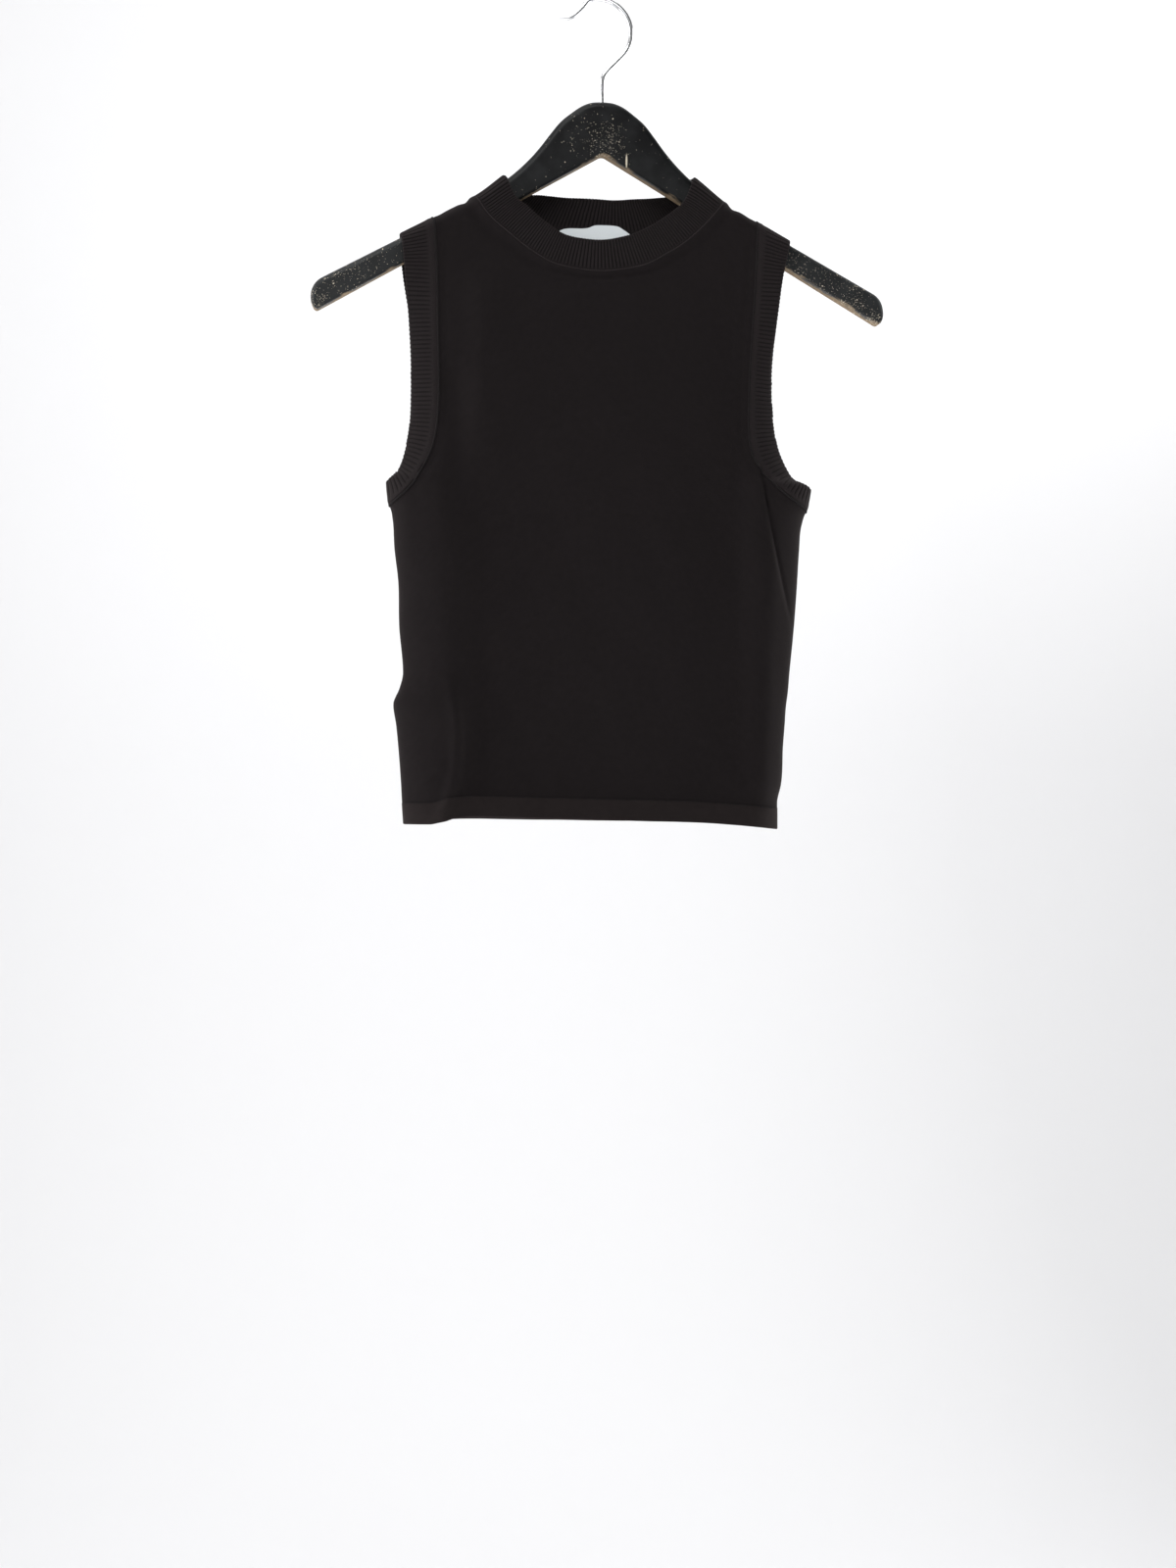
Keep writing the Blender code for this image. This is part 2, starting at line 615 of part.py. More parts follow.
def main():
    for obj in list(bpy.data.objects):
        bpy.data.objects.remove(obj, do_unlink=True)
    jersey = material("black jersey", (0.013, 0.011, 0.012), 0.9)
    rib = material("black rib", (0.015, 0.013, 0.014), 0.9)
    satin = material("white satin", (0.75, 0.78, 0.80), 0.35)
    paint = material("black paint", (0.02, 0.02, 0.021), 0.4)
    steel = material("plated steel", (0.75, 0.75, 0.76), 0.15, 1.0)

    for face in ("front", "back"):
        panel_and_hem(face, jersey)
    band("neckband", NECK_FRONT, NECK_BACK, eased(NECK_COLUMNS), rib)
    band("armhole_band_left", ARMHOLE_LEFT, ARMHOLE_LEFT, np.array(UPPER_ROWS), rib, side=1)
    band("armhole_band_right", ARMHOLE_RIGHT, ARMHOLE_RIGHT, np.array(UPPER_ROWS), rib, side=2)
    label(satin)
    hanger(paint)
    hook(steel)


main()
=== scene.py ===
"""A sleeveless fine-knit sweater on a worn black hanger.

Metres, +Z up. The front faces -Y, and the origin is the inner top of the hook. A height is given as
a drop, the distance below that origin. The pieces come in the order in which they are put together:
hanger, hook, front and back, hems, neckband, armhole bands, label.
"""

import math

import bmesh
import bpy
import numpy as np
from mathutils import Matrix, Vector
from mathutils.geometry import delaunay_2d_cdt


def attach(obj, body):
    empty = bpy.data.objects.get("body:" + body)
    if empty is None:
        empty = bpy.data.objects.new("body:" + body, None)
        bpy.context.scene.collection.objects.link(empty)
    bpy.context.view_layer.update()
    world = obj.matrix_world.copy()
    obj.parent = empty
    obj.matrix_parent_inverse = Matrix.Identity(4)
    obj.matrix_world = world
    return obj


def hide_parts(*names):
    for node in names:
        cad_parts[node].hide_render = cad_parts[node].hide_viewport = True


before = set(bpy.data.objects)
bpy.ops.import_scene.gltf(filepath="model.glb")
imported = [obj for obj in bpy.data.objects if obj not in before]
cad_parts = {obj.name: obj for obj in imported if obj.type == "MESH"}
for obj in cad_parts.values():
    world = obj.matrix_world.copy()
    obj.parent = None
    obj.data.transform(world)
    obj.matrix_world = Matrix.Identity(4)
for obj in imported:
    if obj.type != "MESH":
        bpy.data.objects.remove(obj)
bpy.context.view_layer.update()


# Studio. A white sweep far behind and below the garment, pale surroundings, soft lights above, in
# front and below, two more on the wall, and two tall ones level with the cloth, which graze it from
# both sides. The camera is level, a little to the left.

SHANK_X = 0.003
CAMERA_TURN = math.radians(-8.8)
CAMERA_DISTANCE = 1.67
CAMERA_ASIDE = -0.01097
CAMERA_DROP = 0.600
SWEEP_HALF_WIDTH = 5.0
SWEEP_FRONT, SWEEP_WALL = -5.0, 2.6
SWEEP_FLOOR, SWEEP_TOP = -1.75, 3.2
SWEEP_BEND, SWEEP_BEND_POINTS = 1.2, 17
WHITE_PAPER = (0.80, 0.80, 0.81, 1)
ROOM_WHITE = (1.0, 1.0, 1.0, 1)
ROOM_LIGHT, ROOM_SEEN = 0.2, 0.92
LIGHTS = (
    # name, place, the point that it is turned to, width, height, watts
    ("left_light", (-1.42, -0.15, -0.30), (0.0, 0.0, -0.35), 1.0, 1.9, 30),
    ("right_light", (1.42, 0.15, -0.30), (0.0, 0.0, -0.35), 1.0, 1.9, 23),
    ("front_light", (-0.55, -1.35, 1.75), (0.0, 0.0, -0.30), 1.9, 1.1, 50),
    ("low_front_light", (0.0, -1.7, -0.15), (0.0, 0.0, -0.30), 0.9, 0.9, 7),
    ("top_light", (0.0, 0.35, 1.60), (0.0, 0.0, -0.20), 1.8, 0.8, 14),
    ("floor_light", (0.0, -0.12, -1.60), (0.0, 0.0, -0.60), 1.6, 0.4, 22),
    ("wall_light_left", (-1.7, 1.1, 1.9), (1.3, 2.6, 1.0), 1.6, 1.6, 12),
    ("wall_light_right", (1.7, 1.1, 1.9), (1.3, 2.6, 1.2), 1.6, 1.6, 46),
)


def add_object(name, data):
    """An object of that data in the scene, at the origin."""
    obj = bpy.data.objects.new(name, data)
    bpy.context.scene.collection.objects.link(obj)
    return obj


def add_mesh(name, points, faces):
    """An object at the origin with smooth faces, its place in its mesh."""
    mesh = bpy.data.meshes.new(name)
    mesh.from_pydata([tuple(p) for p in points], [], faces)
    mesh.shade_smooth()
    return add_object(name, mesh)


def feed(tree, made, values):
    """Sets each value on a node's input or, if it is an output, links it there."""
    for key, value in values.items():
        if isinstance(value, bpy.types.NodeSocket):
            tree.links.new(value, made.inputs[key])
        else:
            made.inputs[key].default_value = value


def node(tree, kind, values, **settings):
    """A new node with its settings, fed with its values."""
    made = tree.nodes.new(kind)
    for key, value in settings.items():
        setattr(made, key, value)
    feed(tree, made, values)
    return made


def new_finish(name):
    """A node material, its tree and its shader."""
    finish = bpy.data.materials.new(name)
    finish.use_nodes = True
    return finish, finish.node_tree, finish.node_tree.nodes["Principled BSDF"]


def soft_light(name, place, aim, width, height, power):
    """A rectangular light at a place, turned towards its aim, that the camera doesn't see."""
    data = bpy.data.lights.new(name, "AREA")
    data.shape = "RECTANGLE"
    data.size, data.size_y = width, height
    data.energy = power
    light = add_object(name, data)
    light.location = place
    light.rotation_euler = (Vector(aim) - Vector(place)).to_track_quat("-Z", "Y").to_euler()
    light.visible_camera = False


forward = Vector((-math.sin(CAMERA_TURN), math.cos(CAMERA_TURN), 0))
rightward = Vector((math.cos(CAMERA_TURN), math.sin(CAMERA_TURN), 0))
camera_data = bpy.data.cameras.new("photo_camera")
camera_data.lens = 50
camera_data.sensor_width = 36
camera = add_object("photo_camera", camera_data)
camera.location = Vector((SHANK_X, 0, -CAMERA_DROP)) - forward * CAMERA_DISTANCE + rightward * CAMERA_ASIDE
camera.rotation_euler = (math.radians(90), 0, CAMERA_TURN)
bpy.context.scene.camera = camera
bpy.context.scene.view_settings.view_transform = "Standard"

bend = np.radians(np.linspace(0, 90, SWEEP_BEND_POINTS))
sweep_y = np.r_[SWEEP_FRONT, SWEEP_WALL - SWEEP_BEND + SWEEP_BEND * np.sin(bend), SWEEP_WALL]
sweep_z = np.r_[SWEEP_FLOOR, SWEEP_FLOOR + SWEEP_BEND - SWEEP_BEND * np.cos(bend), SWEEP_TOP]
sweep_points = [(x, y, z) for y, z in zip(sweep_y, sweep_z) for x in (-SWEEP_HALF_WIDTH, SWEEP_HALF_WIDTH)]
sweep_faces = [(2 * i, 2 * i + 1, 2 * i + 3, 2 * i + 2) for i in range(len(sweep_y) - 1)]
sweep = add_mesh("sweep", sweep_points, sweep_faces)
paper, paper_tree, paper_shader = new_finish("white_paper")
feed(paper_tree, paper_shader, {"Base Color": WHITE_PAPER, "Roughness": 0.9})
sweep.data.materials.append(paper)

room = bpy.data.worlds.new("pale_room")
room.use_nodes = True
seen = node(room.node_tree, "ShaderNodeLightPath", {}).outputs["Is Camera Ray"]
levels = {"Value": seen, "To Min": ROOM_LIGHT, "To Max": ROOM_SEEN}
strength = node(room.node_tree, "ShaderNodeMapRange", levels).outputs[0]
feed(room.node_tree, room.node_tree.nodes["Background"], {"Color": ROOM_WHITE, "Strength": strength})
bpy.context.scene.world = room
for values in LIGHTS:
    soft_light(*values)


# Hanger body. One flat piece of hardwood, cut to a bell and two falling arms, its edges rounded
# over, painted black. The paint is chipped round the middle and worn to the wood along the edges.

WOOD_THICKNESS = 0.013
WOOD_TILT = 0.005
WOOD_TOP_AT_CENTRE, WOOD_TOP_SLOPE = 0.1038, 0.536
WOOD_UNDER_AT_CENTRE, WOOD_UNDER_SLOPE = 0.1180, 0.575
NOTCH_HALF_WIDTH = 0.003
ARM_HALF_SPAN = 0.222
TIP_RADIUS = 0.016
CORNER_RADIUS = 0.0026
TOP_EDGE_RADIUS, UNDER_EDGE_RADIUS = 0.0055, 0.0018
BELL = np.array((
    # distance from the shank, drop of the wood's top
    (0.0000, 0.0777),
    (0.0090, 0.0786),
    (0.0163, 0.0815),
    (0.0235, 0.0865),
    (0.0335, 0.0950),
    (0.0407, 0.1040),
    (0.0475, 0.1130),
    (0.0551, 0.1220),
    (0.0646, 0.1315),
    (0.0760, 0.1410),
    (0.0900, 0.1510),
))
BELL_BLEND = (0.076, 0.090)
HOOK_HOLE_RADIUS, HOOK_HOLE_DEPTH = 0.0023, 0.022
OUTLINE_STEPS = {
    # stretches of points along an edge: from and to, away from the shank, and how many
    "under": ((0.000, 0.006, 9), (0.009, 0.198, 46)),
    "top": ((0.194, 0.092, 26), (0.090, 0.000, 61)),
}
CORNER_POINTS, TIP_POINTS = 12, 25
# Degrees round the tip: where its arc ends, and where its edge is as round and as little worn as above.
TIP_ARC_END, TIP_ROUNDER_BY, TIP_CLEANER_BY = 61, 10, 30
UNDER_EDGE_WEAR, TOP_EDGE_WEAR = 1.15, 0.2
FRONT_EDGE_WEAR = 0.5
EDGE_RINGS, SMALLEST_GAP = 9, 1e-7


def smooth(keys, values, at):
    """The values at `at` on a smooth curve through the points, level at its peaks."""
    steps = np.diff(values) / np.diff(keys)
    before, after = np.append(steps[0], steps), np.append(steps, steps[-1])
    steepest = 3 * np.minimum(np.abs(before), np.abs(after))
    slopes = np.where(before * after > 0, np.clip(np.gradient(values, keys), -steepest, steepest), 0)
    at = np.clip(at, keys[0], keys[-1])
    i = np.clip(np.searchsorted(keys, at) - 1, 0, len(keys) - 2)
    span = keys[i + 1] - keys[i]
    t = (at - keys[i]) / span
    start = values[i] * (1 + 2 * t) + slopes[i] * span * t
    end = values[i + 1] * (3 - 2 * t) - slopes[i + 1] * span * (1 - t)
    return start * (1 - t) ** 2 + end * t**2


def table_at(table, column, at):
    """A table's column, smoothed between its rows, at these values of its first column."""
    return smooth(table[:, 0], table[:, column], at)


def unit(vectors):
    return vectors / np.linalg.norm(vectors, axis=-1, keepdims=True)


def ramp(low, high, at):
    """From 0 at `low` to 1 at `high`, level at both."""
    t = np.clip((np.asarray(at) - low) / (high - low), 0, 1)
    return t * t * (3 - 2 * t)


def soft_distance(x, blend):
    """The distance from zero, rounded off nearer than `blend`."""
    x = np.abs(x)
    return np.where(x > blend, x, (x**2 + blend**2) / (2 * blend))


def wood_top(away):
    """Drop of the wood's top: the bell, which runs out into the straight arm."""
    on_arm = ramp(*BELL_BLEND, away)
    arm = WOOD_TOP_AT_CENTRE + WOOD_TOP_SLOPE * away
    return table_at(BELL, 1, away) * (1 - on_arm) + arm * on_arm


def hanger_half():
    """The right half's outline from the notch round the tip to the bell: away, drop, edge radius, wear."""
    centre = ARM_HALF_SPAN - TIP_RADIUS
    centre_drop = WOOD_TOP_AT_CENTRE + WOOD_TOP_SLOPE * centre + TIP_RADIUS * math.hypot(1, WOOD_TOP_SLOPE)
    # The corner's small arc touches the under edge and, from inside, the tip's large one.
    steep = math.hypot(1, WOOD_UNDER_SLOPE)
    gap = WOOD_UNDER_AT_CENTRE + WOOD_UNDER_SLOPE * centre - CORNER_RADIUS * steep - centre_drop
    reach = math.sqrt((TIP_RADIUS - CORNER_RADIUS) ** 2 * steep**2 - gap**2)
    aside = (reach - WOOD_UNDER_SLOPE * gap) / steep**2
    corner = centre + aside, centre_drop + gap + WOOD_UNDER_SLOPE * aside
    onto_corner = -90 - math.degrees(math.atan(WOOD_UNDER_SLOPE))
    onto_tip = -math.degrees(math.atan2(gap + WOOD_UNDER_SLOPE * aside, aside))
    corner_turn = np.radians(np.linspace(onto_corner, onto_tip, CORNER_POINTS + 1)[:-1])
    tip_degrees = np.linspace(onto_tip, TIP_ARC_END, TIP_POINTS)
    tip_turn = np.radians(tip_degrees)

    under, top = (np.concatenate([np.linspace(*steps) for steps in OUTLINE_STEPS[edge]])
                  for edge in ("under", "top"))
    under_drop = WOOD_UNDER_AT_CENTRE + WOOD_UNDER_SLOPE * soft_distance(under, NOTCH_HALF_WIDTH)
    away = [under, corner[0] + CORNER_RADIUS * np.cos(corner_turn),
            centre + TIP_RADIUS * np.cos(tip_turn), top]
    drop = [under_drop, corner[1] - CORNER_RADIUS * np.sin(corner_turn),
            centre_drop - TIP_RADIUS * np.sin(tip_turn), wood_top(top)]
    rounder = ramp(onto_tip, TIP_ROUNDER_BY, tip_degrees)
    cleaner = ramp(onto_tip, TIP_CLEANER_BY, tip_degrees)
    below = np.ones(len(under) + CORNER_POINTS)
    radius = [below * UNDER_EDGE_RADIUS, UNDER_EDGE_RADIUS + (TOP_EDGE_RADIUS - UNDER_EDGE_RADIUS) * rounder,
              np.full(len(top), TOP_EDGE_RADIUS)]
    worn = [below * UNDER_EDGE_WEAR, UNDER_EDGE_WEAR + (TOP_EDGE_WEAR - UNDER_EDGE_WEAR) * cleaner,
            np.full(len(top), TOP_EDGE_WEAR)]
    return np.stack([np.concatenate(column) for column in (away, drop, radius, worn)], axis=1)


right_half = hanger_half()
left_half = right_half[-2:0:-1] * (-1, 1, 1, 1)
outline = np.concatenate([right_half, left_half])
outline_xz = np.stack([SHANK_X + outline[:, 0], WOOD_TILT * outline[:, 0] - outline[:, 1]], axis=1)
tangent = unit(np.roll(outline_xz, -1, axis=0) - np.roll(outline_xz, 1, axis=0))
inward = np.stack([-tangent[:, 1], tangent[:, 0]], axis=1)
edge_angles = np.radians(np.linspace(90, 0, EDGE_RINGS))
ring_points, ring_wear = [], []
for face in (-1, 1):
    for angle in edge_angles if face < 0 else edge_angles[::-1]:
        xz = outline_xz + inward * (outline[:, 2] * (1 - np.cos(angle)))[:, None]
        y = face * (WOOD_THICKNESS / 2 - outline[:, 2] * (1 - np.sin(angle)))
        ring_points.append(np.stack([xz[:, 0], y, xz[:, 1]], axis=1))
        over_edge = math.sin(2 * max(angle, math.pi / 4))
        ring_wear.append(outline[:, 3] * over_edge * (1.0 if face > 0 else FRONT_EDGE_WEAR))
count = len(outline)
wood_faces = []
for k in range(len(ring_points) - 1):
    for i in range(count):
        j = (i + 1) % count
        wood_faces.append((k * count + i, (k + 1) * count + i, (k + 1) * count + j, k * count + j))
flat_outline = [Vector((x, z)) for x, _, z in ring_points[0]]
loop_edges = [(i, (i + 1) % count) for i in range(count)]
filled = delaunay_2d_cdt(flat_outline, loop_edges, [tuple(range(count))], 1, SMALLEST_GAP)
flat_faces = [[filled[3][i][0] for i in face] for face in filled[2]]
back_ring = (len(ring_points) - 1) * count
wood_faces += [tuple(face) for face in flat_faces]
wood_faces += [tuple(back_ring + i for i in reversed(face)) for face in flat_faces]
hanger = add_mesh("painted_hanger", np.concatenate(ring_points), wood_faces)
edge_wear = hanger.data.attributes.new("wear", "FLOAT", "POINT")
edge_wear.data.foreach_set("value", np.concatenate(ring_wear))


def face_outward(obj, sharp_degrees=40):
    """Turns a closed mesh's faces outwards if they point inwards, and keeps its sharp edges sharp."""
    shape = bmesh.new()
    shape.from_mesh(obj.data)
    if shape.calc_volume(signed=True) < 0:
        bmesh.ops.reverse_faces(shape, faces=shape.faces)
        shape.to_mesh(obj.data)
    shape.free()
    obj.data.shade_smooth()
    obj.data.set_sharp_from_angle(angle=math.radians(sharp_degrees))


def bake(obj):
    """Makes what the modifiers give the object's own mesh."""
    bpy.context.view_layer.update()
    graph = bpy.context.evaluated_depsgraph_get()
    made = bpy.data.meshes.new_from_object(
        obj.evaluated_get(graph), preserve_all_data_layers=True, depsgraph=graph)
    obj.modifiers.clear()
    old = obj.data
    obj.data = made
    made.name = obj.name
    bpy.data.meshes.remove(old)


face_outward(hanger)
drill_mesh = bpy.data.meshes.new("drill")
drill_shape = bmesh.new()
bmesh.ops.create_cone(drill_shape, cap_ends=True, segments=32, radius1=HOOK_HOLE_RADIUS,
                      radius2=HOOK_HOLE_RADIUS, depth=HOOK_HOLE_DEPTH)
bmesh.ops.translate(drill_shape, verts=drill_shape.verts, vec=(SHANK_X, 0, -BELL[0, 1]))
drill_shape.to_mesh(drill_mesh)
drill_shape.free()
drill = add_object("drill", drill_mesh)
bore = hanger.modifiers.new("bore", "BOOLEAN")
bore.object = drill
bore.solver = "EXACT"
bake(hanger)
bpy.data.objects.remove(drill)


def calc(tree, operation, a, b=0.0, c=0.0):
    """The output of a math node."""
    return node(tree, "ShaderNodeMath", {0: a, 1: b, 2: c}, operation=operation).outputs[0]


def soft_step(tree, value, low, high, to_low=0.0, to_high=1.0):
    """A smooth step from `to_low` to `to_high` as the value goes from `low` to `high`."""
    values = {"Value": value, "From Min": low, "From Max": high, "To Min": to_low, "To Max": to_high}
    return node(tree, "ShaderNodeMapRange", values, interpolation_type="SMOOTHSTEP").outputs[0]


def blend(tree, factor, first, second):
    """A colour between two, given as colours or outputs."""
    values = {"Factor": factor, 6: first, 7: second}
    return node(tree, "ShaderNodeMix", values, data_type="RGBA").outputs[2]


def noise(tree, place, scale, detail, output=0):
    """A noise texture's grey value, or its colour as output 1."""
    values = {"Vector": place, "Scale": scale, "Detail": detail}
    return node(tree, "ShaderNodeTexNoise", values).outputs[output]


def vector_calc(tree, operation, *values):
    """The outputs of a vector math node."""
    return node(tree, "ShaderNodeVectorMath", dict(enumerate(values)), operation=operation).outputs


def bump(tree, height, strength, distance):
    values = {"Height": height, "Strength": strength, "Distance": distance}
    return node(tree, "ShaderNodeBump", values).outputs[0]


BLACK_PAINT = (0.0042, 0.0045, 0.0048, 1)
# The lighter paint colour: dust in patches, and painted sheen along the arms.
DUST_AND_SHEEN_PAINT = (0.0210, 0.0225, 0.0235, 1)
BARE_WOOD = (0.15, 0.105, 0.062, 1)
PALE_WOOD = (0.50, 0.45, 0.36, 1)
GRAIN_STRETCH = (0.15, 1, 1)
GRAIN_SCALE, PATCH_SCALE, RAGGED_SCALE = 260, 60, 1500
RAGGED_SHIFT = 0.0012
CHIP_SCALES = (650, 1100, 1700)
SMALLEST_CHIP, CHIP_SPREAD, CHIP_EDGE = 0.12, 0.30, 0.10
CHIPPED_ANYWHERE, CHIPPED_MIDDLE = 0.008, 0.004
CHIPPED_PLACES = (
    # x, drop, reach, share of the spots that are chipped at its middle
    (0.004, 0.109, 0.024, 0.26),
    (-0.006, 0.106, 0.036, 0.06),
    (-0.155, 0.192, 0.050, 0.06),
    (-0.192, 0.214, 0.036, 0.15),
    (-0.214, 0.236, 0.013, 0.50),
    (0.168, 0.204, 0.060, 0.11),
    (0.198, 0.224, 0.026, 0.22),
    (0.216, 0.238, 0.012, 0.50),
)
SCRATCH_PLACE, SCRATCH_HALF_SIZE = (0.0213, -0.0065, -0.1232), (0.0007, 0.003, 0.0058)
SCRATCH_EDGE = (1.3, 0.7)
PATCHY_WEAR, STREAKY_WEAR, WORN_THROUGH = 1.2, 0.6, (0.55, 0.85)
DUST_IN_PATCHES, DUSTY_PATCHES = 0.35, (0.35, 0.75)
# Painted sheen: the arms are coloured lighter towards their tips, where light catches their rounded tops.
PAINTED_SHEEN_ON_ARMS, ARMS_SHEEN_FROM = 0.65, (0.10, 0.20)
FRESH_CHIPS, FRESH_GRAIN = 0.9, 0.2
PAINT_ROUGHNESS, WOOD_ROUGHER = (0.34, 0.46), 0.35
CHIP_DEPTH, GRAIN_DEPTH = -0.8, 0.25


def worn_paint():
    """Black paint, dusty in patches and coloured lighter along the arms as painted sheen; chips by chance,
    more of them in some places, and edges that are rubbed through to the wood."""
    finish, tree, shader = new_finish("worn_black_paint")
    place = node(tree, "ShaderNodeTexCoord", {}).outputs["Object"]
    along_grain = node(tree, "ShaderNodeMapping", {"Vector": place, "Scale": GRAIN_STRETCH}).outputs[0]
    grain = noise(tree, along_grain, GRAIN_SCALE, 4)
    patches = noise(tree, place, PATCH_SCALE, 5)
    ragged = noise(tree, place, RAGGED_SCALE, 3, output=1)
    shaky = vector_calc(tree, "MULTIPLY_ADD", ragged, (RAGGED_SHIFT,) * 3, place)[0]
    share = CHIPPED_ANYWHERE
    for x, drop, reach, most in CHIPPED_PLACES:
        away = vector_calc(tree, "DISTANCE", place, (x, 0, -drop))["Value"]
        share = calc(tree, "MAXIMUM", share, soft_step(tree, away, reach, CHIPPED_MIDDLE, 0.0, most))
    chips = 0.0
    for scale in CHIP_SCALES:
        spots = node(tree, "ShaderNodeTexVoronoi", {"Vector": shaky, "Scale": scale})
        chance = node(tree, "ShaderNodeSeparateColor", {0: spots.outputs["Color"]})
        size = calc(tree, "MULTIPLY_ADD", chance.outputs[1], CHIP_SPREAD, SMALLEST_CHIP)
        inside = soft_step(tree, calc(tree, "SUBTRACT", size, spots.outputs["Distance"]), 0.0, CHIP_EDGE)
        there = calc(tree, "LESS_THAN", chance.outputs[0], share)
        chips = calc(tree, "MAXIMUM", chips, calc(tree, "MULTIPLY", inside, there))
    from_scratch = vector_calc(tree, "SUBTRACT", shaky, SCRATCH_PLACE)[0]
    from_scratch = vector_calc(tree, "DIVIDE", from_scratch, SCRATCH_HALF_SIZE)[0]
    from_scratch = vector_calc(tree, "LENGTH", from_scratch)["Value"]
    chips = calc(tree, "MAXIMUM", chips, soft_step(tree, from_scratch, *SCRATCH_EDGE))
    edge = node(tree, "ShaderNodeAttribute", {}, attribute_name="wear").outputs["Fac"]
    rubbed = calc(tree, "MULTIPLY_ADD", calc(tree, "SUBTRACT", patches, 0.5), PATCHY_WEAR, edge)
    rubbed = calc(tree, "MULTIPLY_ADD", calc(tree, "SUBTRACT", grain, 0.5), STREAKY_WEAR, rubbed)
    bare = calc(tree, "MAXIMUM", chips, soft_step(tree, rubbed, *WORN_THROUGH))
    aside = calc(tree, "ABSOLUTE", node(tree, "ShaderNodeSeparateXYZ", {0: place}).outputs[0])
    # Dust in patches, plus painted sheen that grows along the arms.
    dust_and_sheen = calc(tree, "ADD", soft_step(tree, patches, *DUSTY_PATCHES, 0.0, DUST_IN_PATCHES),
                soft_step(tree, aside, *ARMS_SHEEN_FROM, 0.0, PAINTED_SHEEN_ON_ARMS))
    paint = blend(tree, dust_and_sheen, BLACK_PAINT, DUST_AND_SHEEN_PAINT)
    fresh = calc(tree, "MULTIPLY_ADD", chips, FRESH_CHIPS, calc(tree, "MULTIPLY", grain, FRESH_GRAIN))
    wood = blend(tree, fresh, BARE_WOOD, PALE_WOOD)
    gloss = soft_step(tree, patches, 0.3, 0.7, *PAINT_ROUGHNESS)
    height = calc(tree, "MULTIPLY_ADD", bare, CHIP_DEPTH, calc(tree, "MULTIPLY", grain, GRAIN_DEPTH))
    feed(tree, shader, {
        "Base Color": blend(tree, bare, paint, wood),
        "Roughness": calc(tree, "MULTIPLY_ADD", bare, WOOD_ROUGHER, gloss),
        "Specular IOR Level": 0.11,
        "Normal": bump(tree, height, 0.5, 0.0002),
    })
    return finish


hanger.data.materials.append(worn_paint())
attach(hanger, "root")
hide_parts("hanger_body")


# Hook. One steel wire, bent to a round hook with a turned-out tip and a straight shank that is
# screwed into the top of the wood; its plating is bright, with fine drawing lines.

WIRE_DIAMETER = 0.004
HOOK_RADIUS = 0.0254
SHANK_BEND_DROP = 0.063
SHANK_DEPTH_IN_WOOD = 0.010
HOOK_ARC_START, HOOK_ARC_END, HOOK_ARC_STEP = -32, 103, 15
HOOK_NECK = ((0.0040, 0.0575), (0.0075, 0.0523), (0.0140, 0.0456))
HOOK_TIP = ((-0.0134, 0.0067), (-0.0210, 0.0128), (-0.0294, 0.0146))
DULL_STEEL, BRIGHT_STEEL = (0.62, 0.63, 0.65, 1), (0.78, 0.78, 0.79, 1)
DRAWING_LINES_SCALE = 900


def hook_wire():
    wood = float(BELL[0, 1])
    route = [(SHANK_X, wood + SHANK_DEPTH_IN_WOOD), (SHANK_X, wood), (SHANK_X, SHANK_BEND_DROP), *HOOK_NECK]
    for degrees in range(HOOK_ARC_START, HOOK_ARC_END + 1, HOOK_ARC_STEP):
        angle = math.radians(degrees)
        drop = HOOK_RADIUS - WIRE_DIAMETER / 2 - HOOK_RADIUS * math.sin(angle)
        route.append((HOOK_RADIUS * math.cos(angle), drop))
    route += HOOK_TIP
    curve = bpy.data.curves.new("hook_wire", "CURVE")
    curve.dimensions = "3D"
    curve.bevel_depth = WIRE_DIAMETER / 2
    curve.bevel_resolution = 8
    curve.resolution_u = 14
    curve.use_fill_caps = True
    spline = curve.splines.new("BEZIER")
    spline.bezier_points.add(len(route) - 1)
    for point, (x, drop) in zip(spline.bezier_points, route):
        point.co = Vector((x, 0, -drop))
        point.handle_left_type = point.handle_right_type = "AUTO"
    return add_object("hook_wire", curve)


def as_mesh(curve_object):
    """The same shape as a mesh object, which takes the curve's place."""
    graph = bpy.context.evaluated_depsgraph_get()
    mesh = bpy.data.meshes.new_from_object(curve_object.evaluated_get(graph), depsgraph=graph)
    name = curve_object.name
    bpy.data.objects.remove(curve_object)
    mesh.name = name
    return add_object(name, mesh)


def plated_steel():
    finish, tree, shader = new_finish("plated_steel")
    place = node(tree, "ShaderNodeTexCoord", {}).outputs["Object"]
    lines = noise(tree, place, DRAWING_LINES_SCALE, 3)
    feed(tree, shader, {
        "Base Color": blend(tree, lines, DULL_STEEL, BRIGHT_STEEL),
        "Roughness": soft_step(tree, lines, 0.3, 0.7, 0.12, 0.26),
        "Metallic": 1.0,
    })
    return finish


hook = as_mesh(hook_wire())
face_outward(hook)
hook.data.materials.append(plated_steel())
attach(hook, "root")
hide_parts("hook")


# Front and back. Each is one piece of fine plain knit in a near-black brown, cut to shape and
# linked at shoulders and sides. They hang from the fold that the hanger's arms make, nearly flat.

